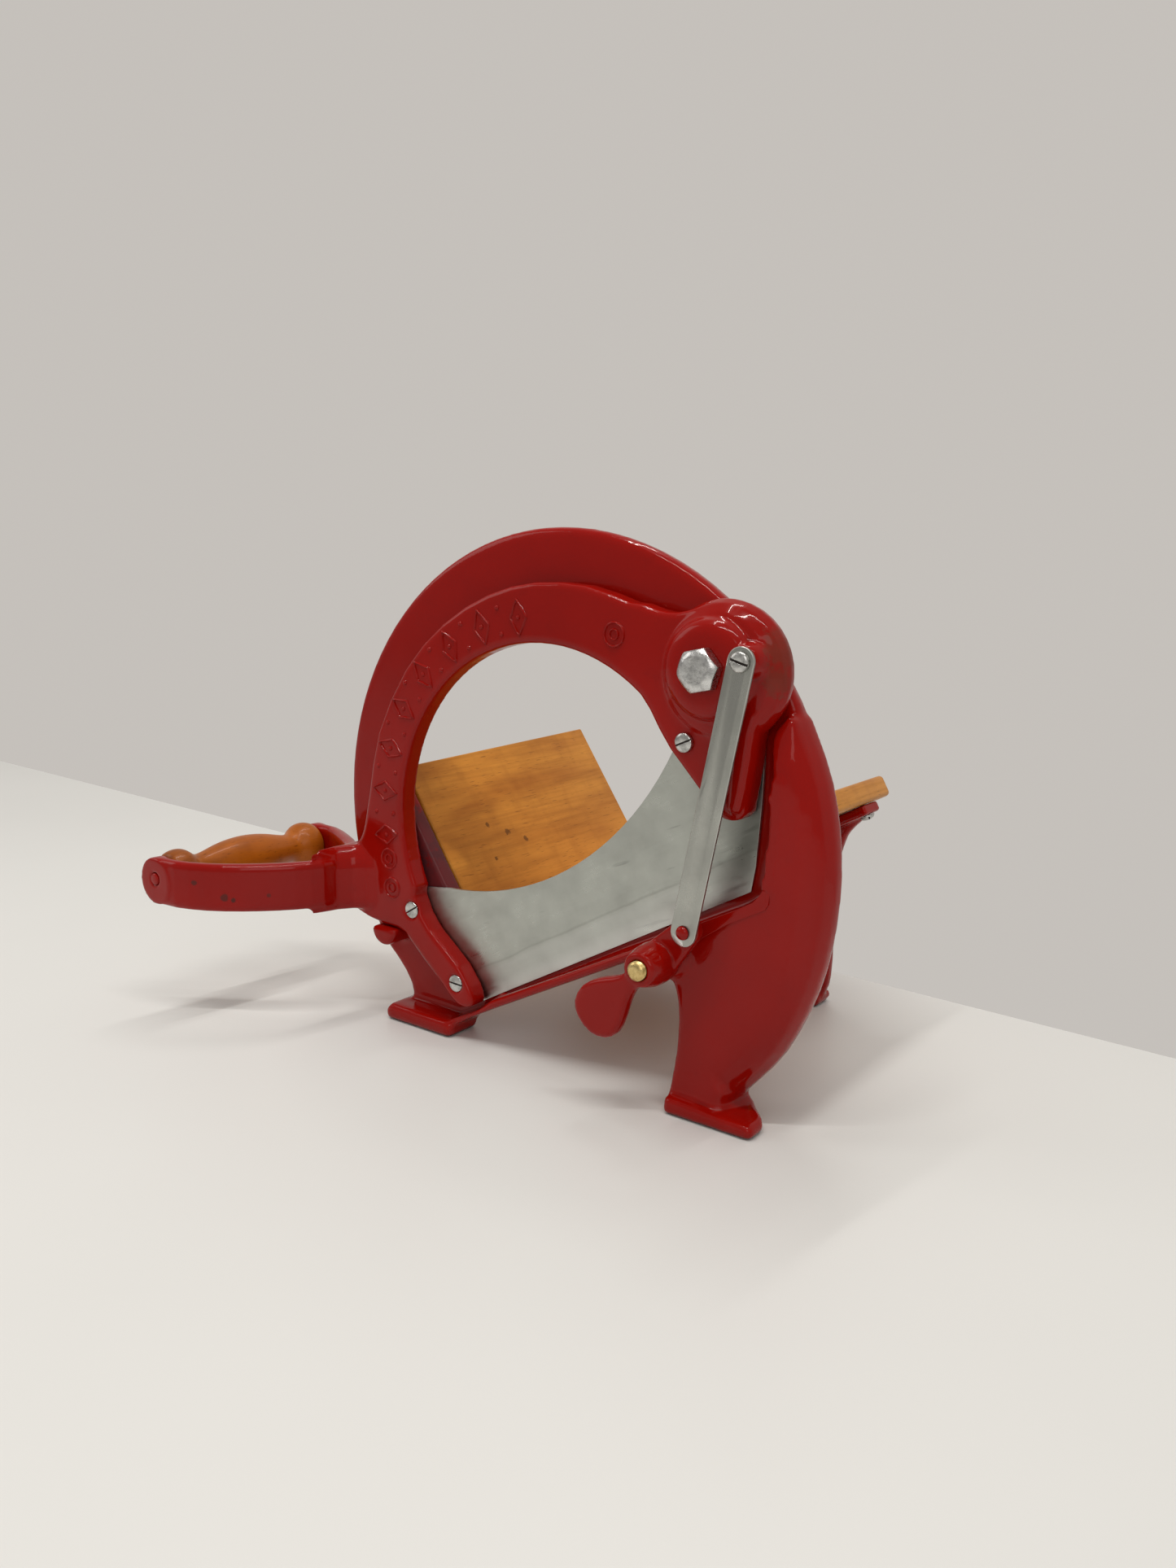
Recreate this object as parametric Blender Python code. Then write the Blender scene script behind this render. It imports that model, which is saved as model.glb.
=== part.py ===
"""Hand slicer for bread and cold meat: a curved blade in an arm that swings on a cast-iron frame.

The design frame is in millimetres. X runs along the frame, away from the handle, Y runs from the
front to the back along the loaf, and Z is up. Its origin is the centre of the round opening in the
arm, in the plane of the arm's front face. An empty moves the whole object so that the centre of its
footprint is the world's origin and its feet stand at Z = 0.
"""

import math

import bmesh
import bpy
from mathutils import Matrix, Vector

MM = 0.001
GAP = 0.3

# Footprint
FLOOR_Z = -129.0
FOOTPRINT_X = (-236.9, 160.5)
FOOTPRINT_Y = (-80.9, 204.0)

# Arm, blade and frame layers, from the front to the back
ARM_BACK = 12.0
BLADE_FRONT = ARM_BACK + GAP
BLADE_BACK = BLADE_FRONT + 1.8
FRAME_FACE = 15.0
FRAME_BACK = 26.0
LEG_FACE = 3.0
LIP_BACK = 11.8

# Radii about the design origin
OPENING_R = 100.0
FRAME_R = 158.5
WINDOW_R = 117.0
LEG_EDGE = ((-43.5, 164.3), (-33, 164.3), (-20, 162.6), (-8, 161.0), (4, 160.3), (16, 159.8), (27.5, 158.7))

# Joint axes, all along Y, as (x, z)
PIVOT = (103.0, 94.0)
LINK_TOP = (123.6, 99.2)
LINK_END = (98.2, -29.4)
STOP_AXIS = (81.5, -48.3)
GRIP_AXIS = (-222.0, -45.0)

# Trough: the two bed planes meet along a line through this corner
CORNER = (-60.0, -73.0)
RIGHT_SLOPE = 29.2
LEFT_SLOPE = 124.5
RIGHT_LENGTH = 185.4
LEFT_LENGTH = 112.0
LEFT_FLARE = 0.045
BOARD_THICK = 13.0
BOARD_END = 204.0
LEDGE_THICK = 6.0

# Rear stand, from the front to the back
STAND_Y = (182.0, 190.0)
STAND_LEDGE_Y = (167.0, 187.0)
STAND_FOOT_Y = (177.0, 196.0)
REAR_SCREW_Y = 177.0

# Edges of the bar, as (x, z) at one point and a slope in degrees
BLADE_EDGE = (-41.2, -101.4)
BLADE_SLOPE = 29.3
LIP_TOP = (14.5, -72.8)
LIP_BOTTOM = (14.6, -79.7)
LIP_SLOPE = 27.7

# Fasteners
BOLT_R = 6.0
HEX_FLATS = 19.0
STUD_R = 4.8
SCREW_R = 2.0
HEAD_R = 4.9
ROD_R = 3.5
WOOD_SCREW_R = 2.0

ENAMEL = (0.42, 0.012, 0.010)
STEEL = (0.55, 0.55, 0.54)
MATERIALS = {
    "red_enamel": (ENAMEL, 0.22, 0.0),
    "blade_steel": ((0.60, 0.61, 0.60), 0.30, 1.0),
    "link_steel": ((0.50, 0.50, 0.48), 0.34, 1.0),
    "zinc": (STEEL, 0.28, 1.0),
    "brass": ((0.72, 0.55, 0.26), 0.30, 1.0),
    "board_maple": ((0.62, 0.33, 0.10), 0.45, 0.0),
    "grip_wood": ((0.50, 0.22, 0.07), 0.40, 0.0),
}


def polar(centre, radius, degrees):
    angle = math.radians(degrees)
    return (centre[0] + radius * math.cos(angle), centre[1] + radius * math.sin(angle))


def arc(centre, radius, start, end, steps):
    """Points along an arc, both ends included."""
    return [polar(centre, radius, start + (end - start) * i / steps) for i in range(steps + 1)]


def smooth(points, steps=2):
    """A Catmull-Rom curve through the points, from the first to the last."""
    padded = [points[0], *points, points[-1]]
    curve = []
    for a, b, c, d in zip(padded, padded[1:], padded[2:], padded[3:]):
        for i in range(steps):
            t = i / steps
            weights = (
                -0.5 * t**3 + t**2 - 0.5 * t,
                1.5 * t**3 - 2.5 * t**2 + 1,
                -1.5 * t**3 + 2 * t**2 + 0.5 * t,
                0.5 * t**3 - 0.5 * t**2,
            )
            curve.append(tuple(sum(w * p[k] for w, p in zip(weights, (a, b, c, d))) for k in (0, 1)))
    return [*curve, points[-1]]


def on_line(point, slope, x):
    """The point with this x on a line through a point at a slope in degrees."""
    return (x, point[1] + (x - point[0]) * math.tan(math.radians(slope)))


def trough(slope, along, above=0.0):
    """A point of a bed plane: its distance from the corner, and its height above the plane."""
    x, z = polar(CORNER, along, slope)
    side = 90.0 if slope < 90.0 else -90.0
    return polar((x, z), above, slope + side)


def section(front, back, front_round=0.0, back_round=0.0, steps=2):
    """(inset, y) pairs that carry an outline from front to back, with rounded edges."""
    rows = []
    for i in range(steps + 1 if front_round else 0):
        angle = math.radians(90.0 * i / steps)
        rows.append((front_round * (1 - math.sin(angle)), front + front_round * (1 - math.cos(angle))))
    rows = rows or [(0.0, front)]
    for i in range(steps + 1 if back_round else 0):
        angle = math.radians(90.0 * i / steps)
        rows.append((back_round * (1 - math.cos(angle)), back - back_round * (1 - math.sin(angle))))
    return rows if back_round else [*rows, (0.0, back)]


def inset_points(outline, inset, weights):
    """The closed outline moved inwards by the inset, times each point's weight."""
    moved = []
    count = len(outline)
    for i, point in enumerate(outline):
        here = Vector(point)
        before = (here - Vector(outline[i - 1])).normalized()
        after = (Vector(outline[(i + 1) % count]) - here).normalized()
        normal = Vector((-(before.y + after.y), before.x + after.x))
        if normal.length < 1e-6:
            normal = Vector((-before.y, before.x))
        normal.normalize()
        mitre = max(0.5, normal.dot(Vector((-before.y, before.x))))
        moved.append(here + normal * inset * weights[i] / mitre)
    return moved


def loft(outline, rows, weights=None, plane="XZ"):
    """A closed solid from an anticlockwise outline, carried through (inset, depth) rows.

    In the XZ plane the depth is Y, and in the XY plane it is Z.
    """
    weights = weights or [1.0] * len(outline)
    mesh = bmesh.new()
    rings = []
    for inset, depth in rows:
        points = inset_points(outline, inset, weights) if inset else outline
        if plane == "XZ":
            places = [(p[0] * MM, depth * MM, p[1] * MM) for p in points]
        else:
            places = [(p[0] * MM, p[1] * MM, depth * MM) for p in points]
        rings.append([mesh.verts.new(place) for place in places])
    mesh.faces.new(rings[0])
    mesh.faces.new(reversed(rings[-1]))
    for ring, following in zip(rings, rings[1:]):
        for i in range(len(ring)):
            mesh.faces.new((ring[i - 1], ring[i], following[i], following[i - 1]))
    bmesh.ops.recalc_face_normals(mesh, faces=mesh.faces)
    return mesh


def lathe(axis, profile, segments=24):
    """A solid turned about an axis along Y, from (radius, y) points. A first or last radius of 0
    closes it on the axis, and otherwise the profile's ends meet, which leaves a bore."""
    closed = profile[0][0] > 0
    mesh = bmesh.new()
    rings = []
    for radius, depth in profile:
        if radius == 0:
            rings.append([mesh.verts.new((axis[0] * MM, depth * MM, axis[1] * MM))])
            continue
        places = [polar(axis, radius, 360.0 * i / segments) for i in range(segments)]
        rings.append([mesh.verts.new((x * MM, depth * MM, z * MM)) for x, z in places])
    pairs = list(zip(rings, rings[1:]))
    if closed:
        pairs.append((rings[-1], rings[0]))
    for ring, following in pairs:
        for i in range(segments):
            corners = [ring[i - 1], ring[i]] if len(ring) > 1 else [ring[0]]
            corners += [following[i], following[i - 1]] if len(following) > 1 else [following[0]]
            mesh.faces.new(corners)
    bmesh.ops.recalc_face_normals(mesh, faces=mesh.faces)
    return mesh


def prism(outline, front, back, plane="XZ"):
    return loft(outline, [(0.0, front), (0.0, back)], plane=plane)


def rod(axis, radius, front, back, segments=20):
    return lathe(axis, [(0, front), (radius, front), (radius, back), (0, back)], segments)


def box(x, y, z):
    return prism([(x[0], z[0]), (x[1], z[0]), (x[1], z[1]), (x[0], z[1])], *y)


def material(name):
    made = bpy.data.materials.get(name)
    if made is None:
        colour, roughness, metallic = MATERIALS[name]
        made = bpy.data.materials.new(name)
        made.use_nodes = True
        shader = made.node_tree.nodes["Principled BSDF"]
        shader.inputs["Base Color"].default_value = (*colour, 1.0)
        shader.inputs["Roughness"].default_value = roughness
        shader.inputs["Metallic"].default_value = metallic
        made.diffuse_color = (*colour, 1.0)
    return made


JOINT_PLACES = {}


def empty(name, parent, place):
    """An empty at a place in the design frame."""
    made = bpy.data.objects.new(name, None)
    bpy.context.collection.objects.link(made)
    made.parent = parent
    JOINT_PLACES[name] = Vector(place)
    made.location = (JOINT_PLACES[name] - JOINT_PLACES[parent.name]) * MM
    return made


def design_origin():
    """The empty that stands the design frame on the world's floor, over the footprint's centre."""
    made = bpy.data.objects.new("design_origin", None)
    bpy.context.collection.objects.link(made)
    JOINT_PLACES[made.name] = Vector((0, 0, 0))
    made.location = Vector((-sum(FOOTPRINT_X) / 2, -sum(FOOTPRINT_Y) / 2, -FLOOR_Z)) * MM
    return made


def mesh_object(name, mesh, joint):
    """An object whose mesh was made in the design frame, placed under its joint's empty."""
    bmesh.ops.translate(mesh, verts=mesh.verts, vec=-JOINT_PLACES[joint.name] * MM)
    data = bpy.data.meshes.new(name)
    mesh.to_mesh(data)
    mesh.free()
    made = bpy.data.objects.new(name, data)
    bpy.context.collection.objects.link(made)
    made.parent = joint
    return made


def add(name, mesh, material_name, joint, changes=()):
    """A sub-part. The changes are ("UNION" or "DIFFERENCE", mesh) pairs, made in that order."""
    made = mesh_object(name, mesh, joint)
    made.data.materials.append(material(material_name))
    for number, (operation, other) in enumerate(changes):
        helper = mesh_object(f"{name}_helper_{number}", other, joint)
        helper.hide_render = True
        helper.display_type = "WIRE"
        modifier = made.modifiers.new(f"{operation.lower()}_{number}", "BOOLEAN")
        modifier.operation = operation
        modifier.object = helper
        modifier.solver = "EXACT"
    made.data.shade_smooth()
    made.data.set_sharp_from_angle(angle=math.radians(32))
    return made


# Frame


def arch_plate():
    """The arch with the left leg and the wall behind the blade, as (outline, weights)."""
    arch = arc((0, 0), FRAME_R, 30.0, 211.0, 48)
    leg = [(-129.5, -89), (-121, -96.5), (-114.7, -103), (-109.8, -110), (-108, -117), (-109, -123)]
    under = [(-66, -123), (-58, -115.5), on_line(LIP_BOTTOM, LIP_SLOPE, -46.5)]
    under = [(x, z + 1.2) for x, z in [*under, on_line(LIP_BOTTOM, LIP_SLOPE, 68)]]
    inside_leg = [(90, -48), (137, -10), (140, 30), (137, 66), polar((0, 0), FRAME_R - 1.2, 26.5)]
    outline = arch + leg + under + inside_leg
    weights = [1.0] * len(arch) + [0.3] * len(leg) + [0.0] * (len(under) + len(inside_leg))
    return outline, weights


def leg_block():
    """The right leg, the pad beside the blade and the bar's lip, as (outline, weights)."""
    outer = smooth([polar((0, 0), radius, angle) for angle, radius in LEG_EDGE], 3)
    taper = [min(1.0, 0.3 + i / 8) for i in range(len(outer))]
    top = arc(PIVOT, 38.4, -30.5, -43.5, 2)
    pad = smooth([(129.9, 63), (132.4, 46.4), (133.6, 21.5), (132.5, 2.2), (130.4, -7), (126, -12.5)])
    lip = [on_line(LIP_TOP, LIP_SLOPE, x) for x in (118, 14.5, -38)]
    end = [(-41, -104.5), (-46, -108.2), (-58, -114.2), (-68, -119.6), (-70, -125.5)]
    heel = [(-66.5, -126.8), (-64.8, -123.6), (-62, -120.8), on_line(LIP_BOTTOM, LIP_SLOPE, -57)]
    under = [on_line(LIP_BOTTOM, LIP_SLOPE, x) for x in (-38, 70)]
    inner = smooth([(77, -53), (81.2, -60.5), (84.3, -68), (85.8, -80.4), (84.9, -97.8), (82.2, -115)], 2)
    foot = [(82.2, -119), (83.2, -127), (128, -127), (130.8, -124.6), (130, -122.3)]
    ankle = smooth([(126, -121.5), (119.5, -120.6), (116.6, -118.2), (117, -115.6)], 2)
    parts = [(top, 0.1), (pad, 0.07), (lip, 0.07), (end, 0.0), (heel, 0.03)]
    parts += [(under, 0.07), (inner, 0.1), (foot, 0.05), (ankle, 0.4)]
    outline = outer + [point for points, _ in parts for point in points]
    weights = taper[::-1] + [weight for points, weight in parts for _ in points]
    return outline, weights


def ledge(slope, start, end, front, back):
    """A strip under a board, parallel to it."""
    top = -BOARD_THICK - GAP
    low = top - LEDGE_THICK
    upper = [trough(slope, start, top), trough(slope, end, top)]
    lower = [trough(slope, end, low), trough(slope, start, low)]
    return prism(upper + lower, front, back)


def window():
    left_top = (-116.6, 9.4)
    upper = arc((0, 0), WINDOW_R, 15.0, 175.4, 28)
    return [CORNER, trough(RIGHT_SLOPE, 188), (110.5, 25), *upper[:-1], left_top]


SCREW_ROWS = (("right", RIGHT_SLOPE, (32.0, 178.0)), ("left", LEFT_SLOPE, (22.0, 84.0)))


def board_screw_places():
    """(name, slope, distance from the corner, y) of each screw under the boards."""
    rows = []
    for side, slope, places in SCREW_ROWS:
        for end, y in (("front", FRAME_BACK + 10.0), ("rear", REAR_SCREW_Y)):
            for level, along in zip(("low", "high"), places):
                rows.append((f"board_screw_{side}_{end}_{level}", slope, along, y))
    return rows


def along_normal(mesh, slope, along, y, height):
    """Turns a solid made along +Y at the origin so that it points up out of a bed plane."""
    normal = Vector(trough(slope, along, 1.0)) - Vector(trough(slope, along, 0.0))
    direction = Vector((normal.x, 0.0, normal.y))
    turn = Vector((0, 1, 0)).rotation_difference(direction).to_matrix().to_4x4()
    x, z = trough(slope, along, height)
    place = Matrix.Translation(Vector((x, y, z)) * MM)
    bmesh.ops.transform(mesh, matrix=place @ turn, verts=mesh.verts)
    return mesh


def screw_hole(slope, along, y, bottom, top, radius):
    return along_normal(rod((0, 0), radius, 0.0, top - bottom, 10), slope, along, y, bottom)


def ledge_holes(end):
    """The cuts that clear the wood screws through one end's ledges."""
    low = -BOARD_THICK - GAP - LEDGE_THICK - 1
    return [
        ("DIFFERENCE", screw_hole(slope, along, y, low, -BOARD_THICK + 1, WOOD_SCREW_R + GAP))
        for name, slope, along, y in board_screw_places()
        if f"_{end}_" in name
    ]


def foot_wedge():
    """The cut that tapers the right foot's outer end towards the back."""
    return prism([(140, 3), (150, 3), (150, 40), (105, 40)], FLOOR_Z - 1, FLOOR_Z + 8.6, plane="XY")


def leg_slope():
    """The cut that lets the leg fall back to the arch beside the hub."""
    mesh = bmesh.new()
    foot, head = FRAME_FACE - 0.2, 104.0
    profile = [(-2.0, 49.0), (LEG_FACE, 53.0), (7.5, 70.0), (foot, 92.0), (foot, head), (-2.0, head)]
    rings = []
    for x in (128.0, 170.0):
        rings.append([mesh.verts.new((x * MM, y * MM, z * MM)) for y, z in profile])
    mesh.faces.new(rings[0])
    mesh.faces.new(reversed(rings[1]))
    for i in range(len(profile)):
        mesh.faces.new((rings[0][i - 1], rings[0][i], rings[1][i], rings[1][i - 1]))
    bmesh.ops.recalc_face_normals(mesh, faces=mesh.faces)
    return mesh


def frame(joint):
    arch_rows = [(3.6, FRAME_FACE), (1.7, 15.6), (0.5, 17.0), (0, 19.5), (1.2, FRAME_BACK)]
    leg_rows = [(20, LEG_FACE), (13, 4.0), (7, 7.2), (3, 10.4), (0, 18), (0, 24.5), (1.2, FRAME_BACK)]
    outline, weights = arch_plate()
    leg_outline, leg_weights = leg_block()
    pad_strip = [(130.3, -6), (132.2, 2.2), (133.4, 21.5), (132.8, 38), (133.4, 44.5), (135.5, 46.6)]
    pad_strip += [(137.6, 45), (138.2, 36), (137.6, 16), (135.4, -6)]
    peg = [(-123, -71.6), (-123, -73), *arc((-113.5, -73), 9.5, 190, 350, 8), (-104, -73), (-104, -71.6)]
    left_foot = [(-115.5, FLOOR_Z), (-66.5, FLOOR_Z), (-64.2, -127), (-63.6, -122.5), (-66.5, -119.4)]
    left_foot += [(-112.5, -119), (-116.5, -123)]
    right_foot = [(82.2, FLOOR_Z), (130.5, FLOOR_Z), (132.8, -127.2), (133, -124.5), (130.5, -121.8)]
    right_foot += [(83, -120)]
    slot = [on_line(BLADE_EDGE, BLADE_SLOPE, -33), on_line(BLADE_EDGE, BLADE_SLOPE, 129)]
    slot = [(x, z - 4) for x, z in slot] + [(129, 60), (-33, 60)]
    changes = [
        ("UNION", loft(leg_outline, leg_rows, leg_weights)),
        ("DIFFERENCE", leg_slope()),
        ("UNION", loft(pad_strip, [(1.2, LEG_FACE - 1.0), (0, LEG_FACE), (0, 16.5)])),
        ("DIFFERENCE", prism(window(), FRAME_FACE - 8, FRAME_BACK + 8)),
        ("UNION", rod(PIVOT, 16.0, FRAME_FACE + 2, FRAME_BACK + 6, 32)),
        ("DIFFERENCE", prism(slot, LIP_BACK, FRAME_FACE)),
        ("UNION", loft(left_foot, section(0.0, FRAME_BACK - 2, 2.5))),
        ("UNION", loft(right_foot, section(-2.2, FRAME_BACK - 0.6, 1.8))),
        ("DIFFERENCE", foot_wedge()),
        ("UNION", loft(peg, section(-3.5, FRAME_FACE + 2, 1.5))),
        ("UNION", lathe(STOP_AXIS, [(0, -2.2), (9, -2.2), (11.5, 1), (11.5, 20), (0, 20)])),
        ("UNION", ledge(RIGHT_SLOPE, 6, 183, FRAME_BACK - 2, FRAME_BACK + 20)),
        ("UNION", ledge(LEFT_SLOPE, 6, 102, FRAME_BACK - 2, FRAME_BACK + 20)),
        ("DIFFERENCE", rod(PIVOT, BOLT_R + 0.3, FRAME_FACE - 5, FRAME_BACK + 10)),
        ("DIFFERENCE", rod(STOP_AXIS, STUD_R + GAP, -10, 8.5)),
    ]
    changes += ledge_holes("front")
    add("frame", loft(outline, arch_rows, weights), "red_enamel", joint, changes)


# Trough


def flared(mesh):
    """The left board's shape, made longer up its slope towards the back."""
    slope = math.radians(LEFT_SLOPE)
    up = Vector((math.cos(slope), 0, math.sin(slope)))
    corner = Vector((CORNER[0], FRAME_BACK, CORNER[1])) * MM
    depth = (BOARD_END - FRAME_BACK) * MM
    for vertex in mesh.verts:
        offset = vertex.co - corner
        vertex.co += up * offset.dot(up) * LEFT_FLARE * offset.y / depth
    return mesh


def boards(joint):
    thick = -BOARD_THICK
    right = [trough(RIGHT_SLOPE, 1.6, thick), trough(RIGHT_SLOPE, RIGHT_LENGTH, thick)]
    right += [trough(RIGHT_SLOPE, RIGHT_LENGTH, 0), trough(RIGHT_SLOPE, 0.4, 0)]
    left = [trough(LEFT_SLOPE, -17, 0), trough(LEFT_SLOPE, LEFT_LENGTH, 0)]
    left += [trough(LEFT_SLOPE, LEFT_LENGTH, thick), trough(LEFT_SLOPE, -17, thick)]
    for side, slope, outline in (("right", RIGHT_SLOPE, right), ("left", LEFT_SLOPE, left)):
        rows = section(FRAME_BACK + GAP, BOARD_END, 1.2, 1.2, 2)
        holes = [
            ("DIFFERENCE", screw_hole(slope, along, y, thick - 1, thick + 11.5, WOOD_SCREW_R + GAP))
            for _, screw_slope, along, y in board_screw_places()
            if screw_slope == slope
        ]
        shape = loft(outline, rows)
        add(f"board_{side}", flared(shape) if side == "left" else shape, "board_maple", joint, holes)


def board_screws(joint):
    """Round-head wood screws, driven up through the ledges into the boards."""
    head = -BOARD_THICK - GAP - LEDGE_THICK - GAP
    profile = [(0, -2.6), (3.4, -2.0), (4.6, 0), (WOOD_SCREW_R, 0), (WOOD_SCREW_R, 15), (0, 17)]
    for name, slope, along, y in board_screw_places():
        shape = along_normal(lathe((0, 0), profile, 12), slope, along, y, head)
        slot = along_normal(box((-6, 6), (-4, -1.4), (-0.5, 0.5)), slope, along, y, head)
        add(name, shape, "zinc", joint, [("DIFFERENCE", slot)])


def rear_stand(joint):
    """The casting that carries the boards' far ends on two legs."""
    under = -BOARD_THICK - GAP
    right_wing = [trough(RIGHT_SLOPE, s, under - 1) for s in (179, 15)]
    below_corner = [trough(LEFT_SLOPE, -18.5, 1.5), trough(LEFT_SLOPE, -18.5, under - 1)]
    left_wing = [trough(LEFT_SLOPE, s, under - 1) for s in (-8, 103)]
    left_edge = smooth([(-137, -15), (-124, -32), (-112, -56), (-103, -84), (-99, -108), (-99, -117)])
    left_foot = [(-105, -122), (-105, -126), (-67, -126), (-65, -121)]
    arch = [(-58, -117), (-40, -110.5), (-5, -93), (25, -78), (40, -75), (48, -83), (51, -100), (50, -118)]
    right_foot = [(49.5, -122), (49.5, -126), (76.5, -126), (79.5, -123.5)]
    right_edge = [(82.4, -115), (83.6, -99), (83, -62), (84.5, -38), (87.9, -23.5), (91.2, -16.5), (98, -9)]
    right_edge = smooth([*right_edge, (105, -3.5)])
    left = right_wing + below_corner + left_wing + left_edge + left_foot
    outline = left + smooth(arch) + right_foot + right_edge
    rows = section(*STAND_Y, 1.5, 1.5, 1)
    foot_rows = section(*STAND_FOOT_Y, 1.5, 1.5, 1)
    small = [0.0] * 6 + [1.0] * (len(outline) - 6)
    changes = [
        ("UNION", ledge(RIGHT_SLOPE, 10, 183, *STAND_LEDGE_Y)),
        ("UNION", ledge(LEFT_SLOPE, 10, 104, *STAND_LEDGE_Y)),
        ("UNION", loft([(-107, FLOOR_Z), (-65, FLOOR_Z), (-66, -122), (-106, -122)], foot_rows)),
        ("UNION", loft([(47, FLOOR_Z), (77.5, FLOOR_Z), (80, -125), (79, -121.5), (49, -121.5)], foot_rows)),
    ]
    changes += ledge_holes("rear")
    add("rear_stand", loft(outline, rows, small), "red_enamel", joint, changes)


# Arm


def arm_outline():
    finger = smooth([(121.5, 28.5), (123, 38), (125, 52), (126.5, 66), (131, 80)])
    hub = [(120, 112), (104, 123)]
    valley = smooth([(92, 121.5), (81.2, 118.6), (70.6, 119.3), (62, 121.8)])
    radii = {66: 134, 78: 132.5, 92: 130.5, 106: 128.5, 122: 126.5, 140: 125.5, 160: 126, 176: 127}
    ring = smooth([polar((0, 0), radius, angle) for angle, radius in radii.items()])
    root = smooth([(-130.5, -8), (-133, -17), (-137, -23.5), (-142, -28)])
    end = [(-146, -31), (-147, -62)]
    under = [(-143, -64.6), (-137, -67), (-129, -69.2), (-117, -70.8), (-105, -71.2), (-99, -73)]
    tail = [(-92.5, -78.6), (-84.5, -85.8), (-73, -95), (-64, -103.2), (-59, -106.6)]
    tip = smooth([(-54, -107.6), (-48.8, -106), (-46.6, -102.5), (-49.7, -94.6), (-57.9, -84.4)])
    inner = [(-69.6, -75.2), (-79, -68), (-86.2, -59.5), (-91.2, -49)]
    opening = arc((0, 0), OPENING_R, 206, 52, 36)
    web = [(67.2, 72), (72.7, 63.2), (79.5, 54), (87.8, 45.5), (97, 36), (106.5, 26.5)]
    fingertip = [(109.5, 24.6), (114, 24), (118.5, 25.3)]
    parts = [finger, hub, valley, ring, root, end, under, tail, tip, inner, opening, web, fingertip]
    return [point for points in parts for point in points]


def fork_outline():
    """The handle's stirrup in plan: a closed band that is open towards the grip."""
    outer = [(-222, -80), (-205, -79.2), (-186, -72), (-169, -60), (-154, -45), (-143.5, -30), (-139, -16)]
    outer += [(-141, -1), (-150, 13), (-164, 25), (-182, 35.5), (-204, 45), (-222, 46)]
    inner = [(-222, 38.5), (-207, 37.6), (-187, 28), (-170.5, 18.5), (-159, 8.5), (-151.5, -3), (-149, -15)]
    inner += [(-152, -26.5), (-161, -39.5), (-174.5, -53), (-190, -65), (-207, -71.7), (-222, -72.5)]
    return smooth(outer) + smooth(inner)


def finger_ridge():
    """The thick rounded edge of the finger that the blade's right end hangs from."""
    outside = [(115, 27.5), (120.5, 29), (122.6, 38), (124.6, 52), (126, 66), (130, 78)]
    return outside + [(117, 78), (114.5, 62), (113.5, 45), (112.5, 30)]


def countersink(place):
    """A countersunk hole from the arm's face through to its back."""
    top = HEAD_R + 0.4
    hole = SCREW_R + GAP
    end = ARM_BACK + 8
    profile = [(0, -1), (top, -1), (top, 0.6), (hole, 0.6 + top - hole), (hole, end), (0, end)]
    return lathe(place, profile, 20)


TAIL_SCREWS = {"tail_screw_upper": (-93.4, -57.8), "tail_screw_lower": (-59.3, -94.4)}
WEB_SCREW = (88.6, 58.6)
FINGER_SCREW = (107.5, 34.5)


def blade_arm(joint):
    hub_centre = (PIVOT[0] + 2, PIVOT[1] - 2)
    dome = [(0, -4.2), (20, -4.2), (27.5, -2.4), (32, 1.5), (34, 6.5), (33, ARM_BACK), (0, ARM_BACK)]
    hub = lathe(hub_centre, dome, 36)
    boss = [(0, -10), (17.0, -10), (20.3, -9.2), (22.6, -7.0), (23.8, -3.5), (24.5, 2), (0, 2)]
    link_pad = lathe(LINK_TOP, [(0, -10.7), (5.5, -10.7), (7, -9.2), (9.5, 0), (0, 0)], 20)
    eye_centre = (GRIP_AXIS[0], -46.2)
    tips = [rod(eye_centre, 14.0, front, front + 8.4, 24) for front in (-80.4, 38.0)]
    fork_rows = [(2.4, -60.2), (0.8, -59.2), (0, -57), (0, -35.4), (0.8, -33.2), (2.4, -32.2)]
    root = [(-146, -30), (-141.8, -22), (-138.2, -14), (-133.6, -7), (-127.2, -2.2), (-118, 0.8)]
    root += [(-118, 9), (-146, 9), (-145.5, -5), (-145.8, -18)]
    root_weights = [0.2, 0.6, 1.0, 1.0, 0.7, 0.3, 0.0, 0.0, 0.0, 0.0]
    root_rows = [(4.0, -64.0), (2.0, -62.4), (0.4, -59.6), (0, -56), (0, -38), (1.4, -33), (3.8, -29), (6.6, -26)]
    changes = [
        ("UNION", hub),
        ("UNION", lathe(PIVOT, boss, 32)),
        ("UNION", link_pad),
        ("UNION", loft(finger_ridge(), [(3, -4), (1.2, -2.6), (0.2, 0.5), (0.2, 6)])),
        ("UNION", loft(fork_outline(), fork_rows, plane="XY")),
        ("UNION", loft(root, root_rows, root_weights, plane="XY")),
        ("UNION", tips[0]),
        ("UNION", tips[1]),
        ("DIFFERENCE", rod(PIVOT, BOLT_R + 0.3, -15, 20)),
        ("DIFFERENCE", rod(LINK_TOP, 2.6, -15, 1, 18)),
        ("DIFFERENCE", rod(GRIP_AXIS, ROD_R + GAP, -90, 60, 20)),
        ("DIFFERENCE", rod(WEB_SCREW, SCREW_R + GAP, -5, 20, 16)),
        ("DIFFERENCE", rod(FINGER_SCREW, SCREW_R + GAP, -5, 20, 16)),
    ]
    changes += [("DIFFERENCE", countersink(place)) for place in TAIL_SCREWS.values()]
    add("blade_arm", loft(arm_outline(), section(0.0, ARM_BACK, 2.2, 0.6)), "red_enamel", joint, changes)


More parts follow.
